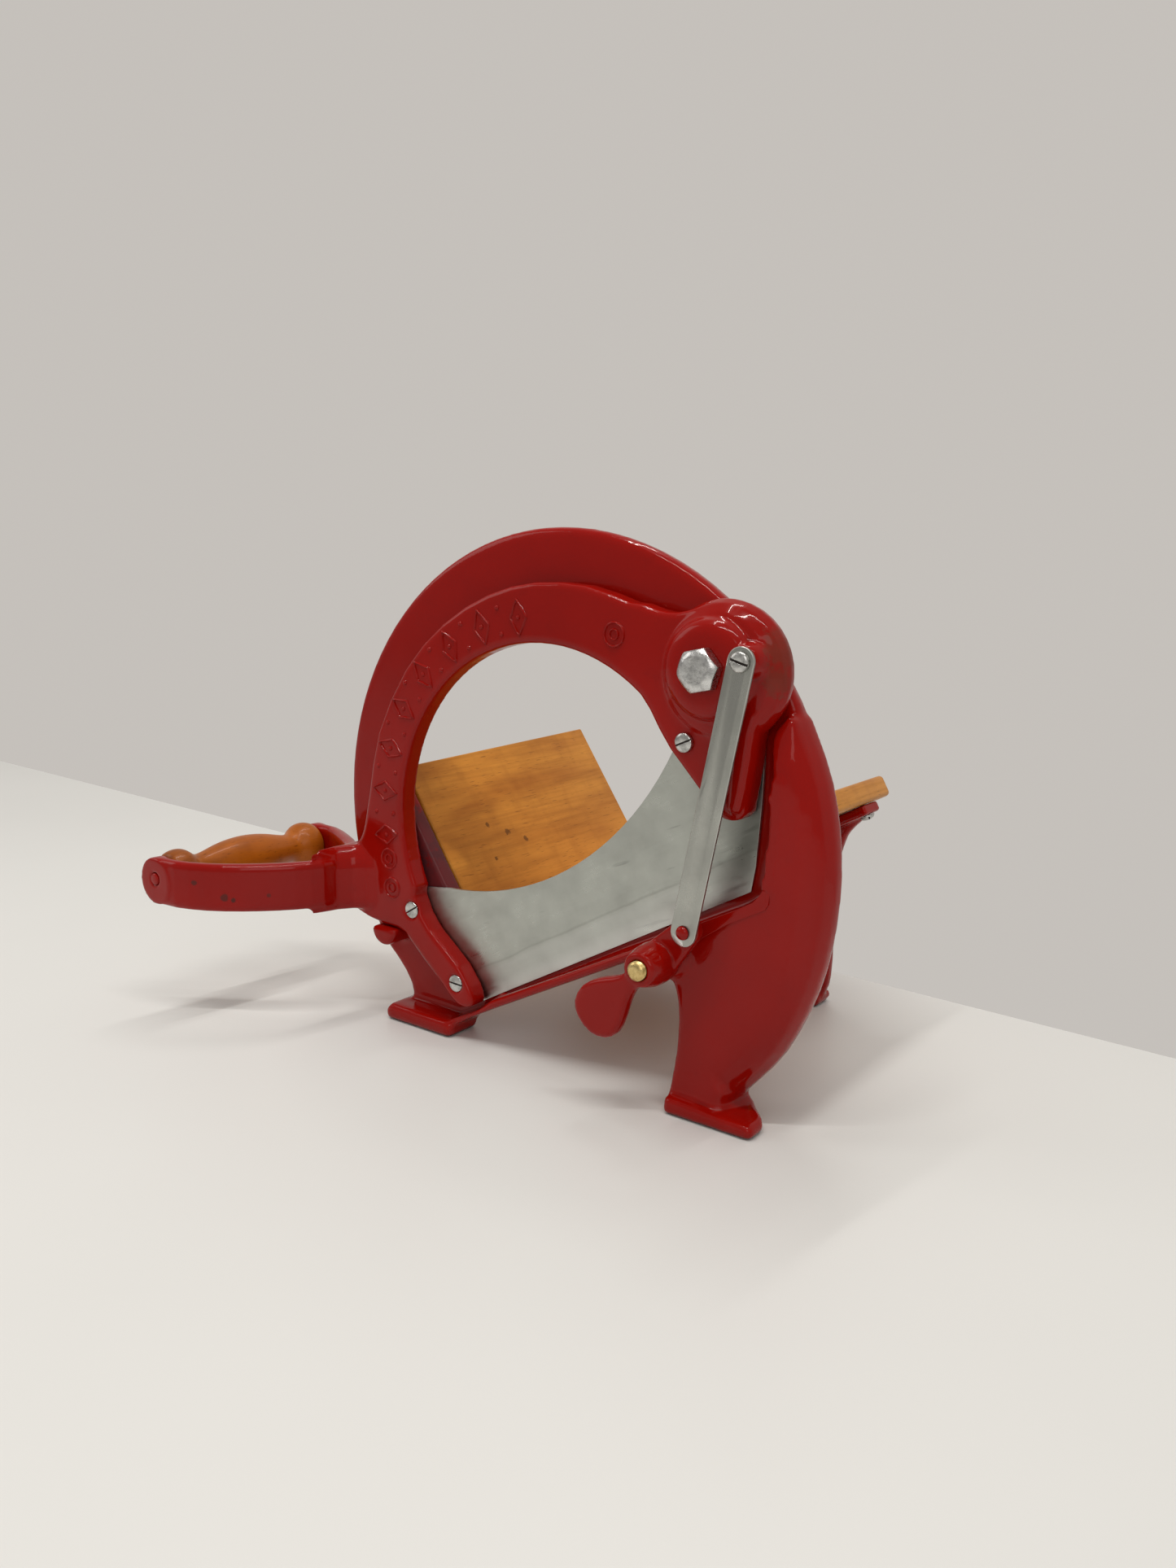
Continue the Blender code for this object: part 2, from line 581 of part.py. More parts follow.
def blade_outline():
    top_centre, top_radius = (-79.0, 126.4), 170.4
    edge = [on_line(BLADE_EDGE, BLADE_SLOPE, x) for x in (-49.5, 119.2)]
    right = smooth([(121.6, 2), (123.6, 30), (123.8, 58), (121, 70)])
    behind = [(100, 72), (86, 65)]
    top = arc(top_centre, top_radius, -22.5, -88.5, 22)
    left = [(-97, -47), (-99.5, -58), (-93, -69.5), (-66, -96), (-55.5, -104)]
    return edge + right + behind + top + left


def blade(joint):
    places = (*TAIL_SCREWS.values(), WEB_SCREW, FINGER_SCREW)
    holes = [("DIFFERENCE", rod(place, SCREW_R + GAP, 10, 18, 16)) for place in places]
    add("blade", prism(blade_outline(), BLADE_FRONT, BLADE_BACK), "blade_steel", joint, holes)


def slotted(name, place, profile, slot_front, slot_turn, joint, width=0.9):
    """A slotted screw along Y. Its profile starts at the head's front face, on the axis."""
    slot = box((-8, 8), (profile[0][1] - 1, slot_front), (-width / 2, width / 2))
    turn = Matrix.Rotation(math.radians(slot_turn), 3, "Y")
    bmesh.ops.rotate(slot, verts=slot.verts, cent=(0, 0, 0), matrix=turn)
    bmesh.ops.translate(slot, verts=slot.verts, vec=(place[0] * MM, 0, place[1] * MM))
    add(name, lathe(place, profile, 18), "zinc", joint, [("DIFFERENCE", slot)])


def blade_screws(joint):
    end = BLADE_BACK - 0.1
    for (name, place), turn in zip(TAIL_SCREWS.items(), (-35.0, 0.0)):
        under = 0.5 + HEAD_R - SCREW_R
        profile = [(0, 0.1), (HEAD_R - 0.3, 0.1), (HEAD_R, 0.5), (SCREW_R, under)]
        profile += [(SCREW_R, end), (0, end)]
        slotted(name, place, profile, 1.3, turn, joint)
    cheese = [(0, -2.9), (3.6, -2.8), (4.6, -2.2), (4.7, -GAP), (SCREW_R, -GAP), (SCREW_R, end), (0, end)]
    slotted("web_screw", WEB_SCREW, cheese, -1.7, -20.0, joint)
    low = [(0, -1.9), (2.9, -1.8), (3.6, -1.3), (3.6, -GAP), (SCREW_R, -GAP), (SCREW_R, end), (0, end)]
    slotted("finger_screw", FINGER_SCREW, low, -1.2, 60.0, joint)


def hexagon(name, axis, front, back, joint, bore=0.0, shank_end=None):
    """A bolt head or a nut, with its corners turned down to a dome on the outer side."""
    corner = HEX_FLATS / 2 / math.cos(math.radians(30))
    outline = arc(axis, corner, 12, 312, 5)
    crown = corner - 0.6
    clear = corner + 1
    dome = [(0, front), (7.6, front), (crown, front + 2.0), (clear, front + 3.0), (clear, back)]
    if bore:
        dome = [(0, front), (clear, front), (clear, back - 2.6), (crown, back - 1.8), (8.4, back)]
    dome.append((0, back))
    changes = [("INTERSECT", lathe(axis, dome, 24))]
    if bore:
        changes.append(("DIFFERENCE", rod(axis, bore, front - 5, back + 5)))
    if shank_end:
        changes.append(("UNION", rod(axis, BOLT_R, back - 2, shank_end)))
    add(name, loft(outline, [(0, front), (0, back)]), "zinc", joint, changes)


def pivot_hardware(joint):
    boss_back = FRAME_BACK + 6
    hexagon("pivot_bolt", PIVOT, -18.0, -10 - GAP, joint, shank_end=boss_back + 15)
    start = boss_back + GAP
    washers = {
        "pivot_washer": (13.0, BLADE_FRONT, FRAME_FACE - GAP),
        "pivot_nut_washer": (12.0, start, start + 2),
    }
    for name, (radius, front, back) in washers.items():
        bore = BOLT_R + 0.4
        ring = [(bore, front), (radius, front), (radius, back), (bore, back)]
        add(name, lathe(PIVOT, ring), "zinc", joint)
    hexagon("pivot_nut", PIVOT, start + 2 + GAP, start + 12, joint, bore=BOLT_R + GAP)


# Link and stop lever


LINK_FACE = -12.8
LINK_BACK = -11.0
LINK_HALF = 6.8


def link(joint):
    run = Vector(LINK_END) - Vector(LINK_TOP)
    heading = math.degrees(math.atan2(run.y, run.x))
    outline = arc(LINK_END, LINK_HALF, heading - 90, heading + 90, 12)
    outline += arc(LINK_TOP, LINK_HALF, heading + 90, heading + 270, 12)
    holes = [rod(LINK_TOP, 2.6 + GAP, -20, 0), rod(LINK_END, 2.4 + GAP, -20, 0)]
    rows = section(LINK_FACE, LINK_BACK, 0.4, 0.3, 1)
    add("link", loft(outline, rows), "link_steel", joint, [("DIFFERENCE", hole) for hole in holes])
    head = LINK_FACE - GAP
    rivet = [(0, head - 1.9), (2.0, head - 1.6), (3.1, head - 0.9), (3.5, head)]
    rivet += [(2.4, head), (2.4, LINK_BACK), (0, LINK_BACK)]
    add("link_rivet", lathe(LINK_END, rivet, 18), "red_enamel", joint)


def link_screw(joint):
    head = LINK_FACE - GAP
    profile = [(0, head - 2.3), (3.7, head - 2.2), (4.7, head - 1.5), (4.8, head)]
    profile += [(2.3, head), (2.3, -0.5), (0, -0.5)]
    slotted("link_screw", LINK_TOP, profile, head - 1.1, 16.0, joint, width=1.1)


def paddle_outline():
    lobe = [(73.5, -50), (71.8, -52.4), (67, -55), (57, -58.2), (47.6, -63.8), (43, -72.5), (45.2, -80.6)]
    lobe += [(53, -87.2), (61.8, -87.8), (68.4, -83.8), (72.6, -75), (75.2, -66.3), (79, -59), (85, -55.5)]
    return smooth(lobe) + [(81.5, -42)]


def crank_outline():
    run = Vector(LINK_END) - Vector(STOP_AXIS)
    heading = math.degrees(math.atan2(run.y, run.x))
    around_stud = arc(STOP_AXIS, 10.0, heading + 80, heading + 280, 12)
    return around_stud + arc(LINK_END, 6.8, heading - 75, heading + 75, 8)


def stop_lever(joint):
    barrel = [(0, -25), (7.4, -25), (8.6, -24), (10.4, -17), (10.8, -11), (10.2, -4)]
    barrel += [(9.4, -2.6), (0, -2.6)]
    changes = [
        ("UNION", lathe(STOP_AXIS, barrel)),
        ("UNION", loft(crank_outline(), section(-10.6, -4.6, 1.5, 1.0, 2))),
        ("DIFFERENCE", rod(STOP_AXIS, STUD_R + GAP, -30, 5)),
    ]
    paddle = loft(paddle_outline(), section(-24.6, -17.6, 2.2, 1.8, 2))
    add("stop_lever", paddle, "red_enamel", joint, changes)


def stop_stud(joint):
    """The brass stud, with its last threads showing in front of the lever."""
    profile = [(0, -28), (4.0, -28), (STUD_R, -27.4)]
    for turn in range(2):
        start = -27.0 + 1.2 * turn
        profile += [(4.35, start), (STUD_R, start + 0.6)]
    profile += [(STUD_R, 8), (0, 8)]
    add("stop_stud", lathe(STOP_AXIS, profile, 20), "brass", joint)


# Handle


def handle(arm, grip):
    front, back = -72 + GAP, 38 - GAP
    half = [(11.5, 0), (14.2, 3.5), (14.9, 8), (13.6, 12.5), (10.6, 16.5), (9.4, 20)]
    half += [(10.2, 26), (12.8, 36)]
    middle = (front + back) / 2
    outline = [(radius, front + depth) for radius, depth in half] + [(14.6, middle)]
    outline += [(radius, back - depth) for radius, depth in reversed(half)]
    bore = ROD_R + 0.4
    profile = [(bore, front), *outline, (bore, back)]
    add("handle_grip", lathe(GRIP_AXIS, profile), "grip_wood", grip)
    ends = [(0, -80.9), (3.0, -80.8), (ROD_R, -80.3), (ROD_R, 46.3), (3.0, 46.8), (0, 46.9)]
    add("grip_rod", lathe(GRIP_AXIS, ends, 18), "red_enamel", arm)


def main():
    for old in list(bpy.data.objects):
        bpy.data.objects.remove(old)
    design = design_origin()
    arm = empty("arm_pivot", design, (PIVOT[0], 0, PIVOT[1]))
    link_joint = empty("link_pivot", arm, (LINK_TOP[0], 0, LINK_TOP[1]))
    grip = empty("grip_axis", arm, (GRIP_AXIS[0], 0, GRIP_AXIS[1]))
    stop = empty("stop_pivot", design, (STOP_AXIS[0], 0, STOP_AXIS[1]))
    frame(design)
    boards(design)
    board_screws(design)
    rear_stand(design)
    pivot_hardware(design)
    blade_arm(arm)
    blade(arm)
    blade_screws(arm)
    link(link_joint)
    link_screw(arm)
    stop_lever(stop)
    stop_stud(design)
    handle(arm, grip)


main()
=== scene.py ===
"""Looks of the hand slicer: enamelled castings, a ground blade, oiled boards and a turned grip.

Places are given in the design frame of the part, in millimetres: X along the frame, Y along the
loaf, Z up, from the centre of the arm's round opening. place() turns them into world metres.
"""

import math

import bmesh
import bpy
from mathutils import Matrix, Vector


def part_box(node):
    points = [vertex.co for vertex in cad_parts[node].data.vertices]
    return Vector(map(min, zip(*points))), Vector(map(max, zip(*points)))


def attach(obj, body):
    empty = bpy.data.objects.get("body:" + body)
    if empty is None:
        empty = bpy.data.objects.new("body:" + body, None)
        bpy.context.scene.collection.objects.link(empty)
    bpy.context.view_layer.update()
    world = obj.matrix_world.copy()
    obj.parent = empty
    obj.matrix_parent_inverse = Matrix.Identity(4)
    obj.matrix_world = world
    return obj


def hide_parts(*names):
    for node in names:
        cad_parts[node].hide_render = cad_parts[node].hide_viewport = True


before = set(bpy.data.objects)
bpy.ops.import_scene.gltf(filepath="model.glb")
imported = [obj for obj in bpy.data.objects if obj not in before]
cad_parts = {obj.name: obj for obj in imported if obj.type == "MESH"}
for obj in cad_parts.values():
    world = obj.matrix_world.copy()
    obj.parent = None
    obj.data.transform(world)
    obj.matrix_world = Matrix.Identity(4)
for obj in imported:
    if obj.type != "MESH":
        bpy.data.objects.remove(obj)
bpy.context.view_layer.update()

MM = 0.001

# Joint axes and layers of the part, in the design frame
PIVOT = (103.0, 94.0)
LINK_TOP = (123.6, 99.2)
LINK_END = (98.2, -29.4)
STOP_AXIS = (81.5, -48.3)
GRIP_AXIS = (-222.0, -45.0)
BLADE_FRONT = 12.3
BLADE_BACK = 14.1
LEG_FACE = 3.0
FRAME_BACK = 26.0
CORNER = (-60.0, -73.0)
RIGHT_SLOPE = 29.2
LEFT_SLOPE = 124.5
BOARD_THICK = 13.0
BOARD_END = 204.0
RIGHT_LENGTH = 185.4
LEFT_LENGTH = 112.0
LEFT_FOOT = -17.0
LEFT_FLARE = 0.045
LEDGE_THICK = 6.0
GAP = 0.3
LINK_FRONT = -12.8
LINK_BACK = -11.0
LINK_HALF = 6.8
BLADE_EDGE = (-41.2, 0.0, -101.4)
BLADE_SLOPE = math.radians(29.3)
BEVEL_WIDTH = 17.5
BEVEL_DEPTH = 1.25
GRIP_FRONT = -71.7
GRIP_BACK = 37.7
ORNAMENT_RADIUS = 113.4
ORNAMENT_STEP = 13.0
SCREW_SHANK = 2.0
HEXAGON_FLATS = 19.0
FRONT_SCREW_Y = FRAME_BACK + 10.0
REAR_SCREW_Y = 177.0

washer_low, washer_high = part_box("pivot_washer")
blade_low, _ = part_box("blade")
ORIGIN = Vector(((washer_low.x + washer_high.x) / 2, blade_low.y, (washer_low.z + washer_high.z) / 2))
ORIGIN -= Vector((PIVOT[0], BLADE_FRONT, PIVOT[1])) * MM


def place(x, y, z):
    """A place of the design frame, in world metres."""
    return ORIGIN + Vector((x, y, z)) * MM


def polar(centre, radius, degrees):
    angle = math.radians(degrees)
    return (centre[0] + radius * math.cos(angle), centre[1] + radius * math.sin(angle))


def arc(centre, radius, start, end, steps):
    return [polar(centre, radius, start + (end - start) * i / steps) for i in range(steps + 1)]


def smooth(points, steps=4):
    """A Catmull-Rom curve through the points."""
    padded = [points[0], *points, points[-1]]
    curve = []
    for a, b, c, d in zip(padded, padded[1:], padded[2:], padded[3:]):
        for i in range(steps):
            t = i / steps
            weights = (
                -0.5 * t**3 + t**2 - 0.5 * t,
                1.5 * t**3 - 2.5 * t**2 + 1,
                -1.5 * t**3 + 2 * t**2 + 0.5 * t,
                0.5 * t**3 - 0.5 * t**2,
            )
            curve.append(tuple(sum(w * p[k] for w, p in zip(weights, (a, b, c, d))) for k in (0, 1)))
    return [*curve, points[-1]]


def trough(slope, along, above=0.0):
    """A point of a bed plane: its distance from the corner, and its height above the plane."""
    side = 90.0 if slope < 90.0 else -90.0
    return polar(polar(CORNER, along, slope), above, slope + side)


def at_axis(axis):
    """The move that carries a turned solid to a joint axis of the design frame."""
    return Matrix.Translation(place(axis[0], 0, axis[1]))


# Meshes


def skin(mesh, rings):
    """Quads between each ring of vertices and the next."""
    for ring, following in zip(rings, rings[1:]):
        for i in range(len(ring)):
            mesh.faces.new((ring[i - 1], ring[i], following[i], following[i - 1]))


def closed(mesh, rings):
    """A face over the first and the last ring, and a skin between them."""
    mesh.faces.new(rings[0])
    mesh.faces.new(reversed(rings[-1]))
    skin(mesh, rings)


def prism(outline, front, back):
    """A closed prism through the design frame's Y, from an outline in its XZ plane."""
    mesh = bmesh.new()
    rings = [[mesh.verts.new(place(x, y, z)) for x, z in outline] for y in (front, back)]
    closed(mesh, rings)
    bmesh.ops.recalc_face_normals(mesh, faces=mesh.faces)
    return mesh


def lathe(profile, segments=64):
    """A solid turned about the world's Y axis, from (radius, y) points in millimetres. A radius of 0
    closes it on the axis, and a profile that never gets there leaves a bore."""
    mesh = bmesh.new()
    rings = []
    for radius, depth in profile:
        if radius == 0:
            rings.append([mesh.verts.new((0, depth * MM, 0))])
            continue
        ring = [polar((0, 0), radius, 360.0 * i / segments) for i in range(segments)]
        rings.append([mesh.verts.new((x * MM, depth * MM, z * MM)) for x, z in ring])
    pairs = list(zip(rings, rings[1:]))
    if profile[0][0] > 0:
        pairs.append((rings[-1], rings[0]))
    for ring, following in pairs:
        for i in range(segments):
            corners = [ring[i - 1], ring[i]] if len(ring) > 1 else [ring[0]]
            corners += [following[i], following[i - 1]] if len(following) > 1 else [following[0]]
            mesh.faces.new(corners)
    bmesh.ops.recalc_face_normals(mesh, faces=mesh.faces)
    return mesh


def moved(mesh, matrix):
    bmesh.ops.transform(mesh, matrix=matrix, verts=mesh.verts)
    return mesh


def on_axis(mesh, axis):
    return moved(mesh, at_axis(axis))


def new_object(name, mesh):
    data = bpy.data.meshes.new(name)
    mesh.to_mesh(data)
    mesh.free()
    made = bpy.data.objects.new(name, data)
    bpy.context.collection.objects.link(made)
    return made


def settle(obj):
    """Replaces the object's mesh with what its modifiers make of it."""
    graph = bpy.context.evaluated_depsgraph_get()
    final = bpy.data.meshes.new_from_object(obj.evaluated_get(graph))
    obj.modifiers.clear()
    old = obj.data
    obj.data = final
    bpy.data.meshes.remove(old)


def rounded(obj, width, segments=2, angle=30.0):
    bevel = obj.modifiers.new("round", "BEVEL")
    bevel.width = width * MM
    bevel.segments = segments
    bevel.limit_method = "ANGLE"
    bevel.angle_limit = math.radians(angle)
    bevel.use_clamp_overlap = True


def cut(obj, cutter, operation="DIFFERENCE"):
    helper = new_object("cutter", cutter)
    boolean = obj.modifiers.new("cut", "BOOLEAN")
    boolean.operation = operation
    boolean.object = helper
    boolean.solver = "EXACT"
    settle(obj)
    bpy.data.objects.remove(helper)


def remake(obj, voxel, passes):
    """Remakes the surface on a fine grid and relaxes it, which softens every edge and corner."""
    remesh = obj.modifiers.new("grid", "REMESH")
    remesh.mode = "VOXEL"
    remesh.voxel_size = voxel * MM
    relax = obj.modifiers.new("relax", "SMOOTH")
    relax.factor = 0.5
    relax.iterations = passes
    settle(obj)


def dress(obj, body, finish, nodes=()):
    """Smooth shading, the finish, the body it rides on and the CAD nodes it stands for."""
    obj.data.materials.clear()
    obj.data.materials.append(finish)
    obj.data.shade_smooth()
    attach(obj, body)
    if nodes:
        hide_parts(*nodes)
    return obj


def sharp(obj, degrees=35.0):
    """Smooth shading, but with sharp edges where faces meet at more than the angle."""
    obj.data.shade_smooth()
    obj.data.set_sharp_from_angle(angle=math.radians(degrees))


# Finishes


class Finish:
    """A Principled material, with short calls for its procedural nodes."""

    def __init__(self, name, metallic=0.0, **sockets):
        self.material = bpy.data.materials.new(name)
        self.material.use_nodes = True
        self.tree = self.material.node_tree
        self.shader = self.tree.nodes["Principled BSDF"]
        self.shader.inputs["Metallic"].default_value = metallic
        for socket, value in sockets.items():
            self.shader.inputs[socket.replace("_", " ")].default_value = value
        self.place = self.tree.nodes.new("ShaderNodeTexCoord").outputs["Object"]

    def plug(self, socket, value):
        if isinstance(value, bpy.types.NodeSocket):
            self.tree.links.new(value, socket)
        elif isinstance(value, tuple) and len(value) == 3 and socket.type == "RGBA":
            socket.default_value = (*value, 1.0)
        else:
            socket.default_value = value

    def noise(self, scale, stretch=(1, 1, 1), turn=(0, 0, 0), detail=4.0, rough=0.5, shift=(0, 0, 0)):
        """Noise whose features are about 1 / scale metres across, stretched along the axes."""
        mapping = self.tree.nodes.new("ShaderNodeMapping")
        mapping.vector_type = "TEXTURE"
        self.plug(mapping.inputs["Vector"], self.place)
        mapping.inputs["Rotation"].default_value = tuple(math.radians(a) for a in turn)
        mapping.inputs["Scale"].default_value = stretch
        mapping.inputs["Location"].default_value = shift
        texture = self.tree.nodes.new("ShaderNodeTexNoise")
        self.plug(texture.inputs["Vector"], mapping.outputs["Vector"])
        texture.inputs["Scale"].default_value = scale
        texture.inputs["Detail"].default_value = detail
        texture.inputs["Roughness"].default_value = rough
        return texture.outputs["Fac"]

    def maths(self, operation, a, b=0.0):
        node = self.tree.nodes.new("ShaderNodeMath")
        node.operation = operation
        self.plug(node.inputs[0], a)
        self.plug(node.inputs[1], b)
        return node.outputs[0]

    def span(self, value, start, end, to_start=0.0, to_end=1.0):
        """The value taken from one range to another, and held at its ends."""
        node = self.tree.nodes.new("ShaderNodeMapRange")
        self.plug(node.inputs["Value"], value)
        ends = {"From Min": start, "From Max": end, "To Min": to_start, "To Max": to_end}
        for name, number in ends.items():
            node.inputs[name].default_value = number
        return node.outputs["Result"]

    def mix(self, factor, a, b):
        node = self.tree.nodes.new("ShaderNodeMix")
        node.data_type = "RGBA"
        self.plug(node.inputs["Factor"], factor)
        self.plug(node.inputs[6], a)
        self.plug(node.inputs[7], b)
        return node.outputs[2]

    def spot(self, centre, radius, ragged=0.5, grain=200.0):
        """A patch round a place, for wear, knots and painted shade: 1 inside, 0 outside, with a ragged
        edge.
        """
        node = self.tree.nodes.new("ShaderNodeVectorMath")
        node.operation = "DISTANCE"
        self.plug(node.inputs[0], self.place)
        node.inputs[1].default_value = place(*centre)
        reach = self.maths("DIVIDE", node.outputs["Value"], radius * MM)
        edge = self.span(self.noise(grain, detail=5.0, rough=0.65), 0.25, 0.75, -ragged, ragged)
        return self.span(self.maths("ADD", reach, edge), 1.1, 0.75)

    def along(self, direction, start):
        """How far along a direction the point is from a start, in millimetres."""
        away = self.tree.nodes.new("ShaderNodeVectorMath")
        away.operation = "SUBTRACT"
        self.plug(away.inputs[0], self.place)
        away.inputs[1].default_value = place(*start)
        node = self.tree.nodes.new("ShaderNodeVectorMath")
        node.operation = "DOT_PRODUCT"
        self.plug(node.inputs[0], away.outputs[0])
        node.inputs[1].default_value = direction
        return self.maths("DIVIDE", node.outputs["Value"], MM)

    def edges(self, start, end):
        """Where the surface is convex, from the mesh's pointiness."""
        pointed = self.tree.nodes.new("ShaderNodeNewGeometry").outputs["Pointiness"]
        return self.span(pointed, start, end)

    def bump(self, *layers):
        """Bumps from (height, distance in millimetres) layers, one over the other."""
        normal = None
        for height, distance in layers:
            node = self.tree.nodes.new("ShaderNodeBump")
            node.inputs["Strength"].default_value = 1.0
            node.inputs["Distance"].default_value = distance * MM
            self.plug(node.inputs["Height"], height)
            if normal:
                self.plug(node.inputs["Normal"], normal)
            normal = node.outputs["Normal"]
        self.plug(self.shader.inputs["Normal"], normal)

    def colour(self, value):
        self.plug(self.shader.inputs["Base Color"], value)

    def roughness(self, value):
        self.plug(self.shader.inputs["Roughness"], value)


def shade(colour, share):
    """The colour with only a share of its light, or more of it where the share is over 1."""
    return tuple(share * c for c in colour)


RED = (0.30, 0.0035, 0.0012)
DEEP_RED = (0.18, 0.002, 0.001)
UNDERCOAT = (0.05, 0.016, 0.014)
BOTTOM_DARK = (0.018, 0.012, 0.011)


def enamel(name, wear_and_shade=(), dark_feet=False):
    """Thick gloss paint over rough cast iron with painted shade in its creases, worn through or given
    painted shade in the places given.
    """
    f = Finish(name, Specular_IOR_Level=0.05, Coat_Weight=0.36, Coat_Roughness=0.045, Coat_IOR=1.5)
    broad = f.noise(14.0, detail=3.0)
    fine = f.noise(70.0, detail=5.0, rough=0.6)
    colour = f.mix(f.span(broad, 0.3, 0.75), RED, shade(RED, 0.80))
    colour = f.mix(f.span(fine, 0.62, 0.80, 0.0, 0.35), colour, DEEP_RED)
    # Painted shade: the casting's concave creases darkened towards deep red.
    painted_crease_shade = f.edges(0.485, 0.455)
    colour = f.mix(f.maths("MULTIPLY", painted_crease_shade, 0.75), colour, shade(DEEP_RED, 0.35))
    rough = f.span(fine, 0.3, 0.8, 0.13, 0.26)
    # Worn patches, and patches of painted shade, laid over the paint.
    for centre, radius, tint, dull in wear_and_shade:
        patch = f.spot(centre, radius)
        colour = f.mix(f.maths("MULTIPLY", patch, dull), colour, tint)
        rough = f.maths("ADD", rough, f.maths("MULTIPLY", patch, 0.22))
    flakes = f.span(f.noise(150.0, detail=6.0, rough=0.7), 0.68, 0.71)
    chips = f.maths("MULTIPLY", f.edges(0.545, 0.57), flakes)
    colour = f.mix(chips, colour, UNDERCOAT)
    rough = f.maths("ADD", rough, f.maths("MULTIPLY", chips, 0.3))
    # Darker towards the bottom, within a few millimetres of the table.
    if dark_feet:
        split = f.tree.nodes.new("ShaderNodeSeparateXYZ")
        f.plug(split.inputs[0], f.place)
        height = f.maths("ADD", split.outputs["Z"], f.maths("MULTIPLY", f.noise(220.0), 0.0022))
        darkening = f.span(height, 0.0035, 0.0012)
        colour = f.mix(f.maths("MULTIPLY", darkening, 0.9), colour, BOTTOM_DARK)
        rough = f.maths("ADD", rough, f.maths("MULTIPLY", darkening, 0.4))
    f.colour(colour)
    f.roughness(rough)
    lumps = f.noise(95.0, detail=2.0)
    peel = f.noise(420.0, detail=3.0)
    f.bump((lumps, 0.30), (peel, 0.035))
    return f.material


BEVEL_LINE = (0.24, 0.24, 0.22)
BEVEL_PALE = (0.66, 0.67, 0.65)
HEEL_SHADE = (0.16, 0.16, 0.145)
RUBBED = (0.80, 0.80, 0.78)


def steel(name, tint, turn, low=0.26, high=0.46, stain=0.35, ground=False):
    """Ground steel, brushed along one direction of the XZ plane, with stains and scratches."""
    f = Finish(name, metallic=1.0, Anisotropic=0.35)
    lines = f.noise(900.0, stretch=(26.0, 1.0, 1.0), turn=(0, turn, 0), detail=3.0, rough=0.6)
    cloud = f.noise(42.0, detail=6.0, rough=0.62)
    marks = f.noise(260.0, stretch=(9.0, 1.0, 1.0), turn=(0, turn + 6.0, 0), detail=2.0)
    colour = f.mix(f.span(cloud, 0.35, 0.72), tint, shade(tint, 1.0 - stain))
    colour = f.mix(f.span(marks, 0.68, 0.74, 0.0, 0.5), colour, shade(tint, 0.5))
    if ground:
        height = f.along((-math.sin(BLADE_SLOPE), 0, math.cos(BLADE_SLOPE)), BLADE_EDGE)
        wander = f.span(f.noise(30.0, detail=3.0), 0.2, 0.8, -1.1, 1.1)
        height = f.maths("ADD", height, wander)
        line = f.maths("MULTIPLY", f.span(height, 16.6, 17.4), f.span(height, 18.6, 17.4))
        colour = f.mix(f.maths("MULTIPLY", line, 0.30), colour, BEVEL_LINE)
        colour = f.mix(f.span(height, 17.4, 14.5, 0.0, 0.22), colour, BEVEL_PALE)
        across = f.along((1, 0, 0), (0, 0, 0))
        colour = f.mix(f.span(across, 84.0, 118.0, 0.0, 0.55), colour, HEEL_SHADE)
    colour = f.mix(f.edges(0.53, 0.58), colour, RUBBED)
    f.colour(colour)
    brushed = f.span(lines, 0.3, 0.7, -0.05, 0.05)
    f.roughness(f.maths("ADD", f.span(cloud, 0.3, 0.75, low, high), brushed))
    f.bump((lines, 0.012), (cloud, 0.03))
    return f.material


def zinc(name, tint=(0.60, 0.60, 0.58), lump=0.12):
    """Galvanised steel: bright and uneven, with painted shade in its hollows."""
    f = Finish(name, metallic=1.0)
    cloud = f.noise(240.0, detail=4.0, rough=0.6)
    grain = f.noise(900.0, detail=3.0)
    colour = f.mix(f.span(cloud, 0.40, 0.68), tint, shade(tint, 0.55))
    # Painted shade: the hollows darkened towards near black.
    colour = f.mix(f.maths("MULTIPLY", f.edges(0.47, 0.42), 0.9), colour, (0.045, 0.040, 0.036))
    f.colour(colour)
    f.roughness(f.span(grain, 0.3, 0.7, 0.18, 0.38))
    f.bump((cloud, lump), (grain, 0.02))
    return f.material


def brass():
    f = Finish("brass_turned", metallic=1.0)
    cloud = f.noise(300.0, detail=4.0)
    rings = f.noise(1500.0, stretch=(1.0, 8.0, 1.0), detail=2.0)
    f.colour(f.mix(f.span(cloud, 0.35, 0.7), (0.78, 0.60, 0.27), (0.42, 0.29, 0.10)))
    f.roughness(f.span(rings, 0.3, 0.7, 0.22, 0.40))
    f.bump((cloud, 0.05), (rings, 0.015))
    return f.material


def darkening():
    """Dirt and painted shade in the screws' slots."""
    f = Finish("slot_dirt_and_shade", Roughness=0.75)
    cloud = f.noise(700.0)
    f.colour(f.mix(f.span(cloud, 0.35, 0.7), (0.020, 0.014, 0.012), (0.055, 0.042, 0.034)))
    return f.material


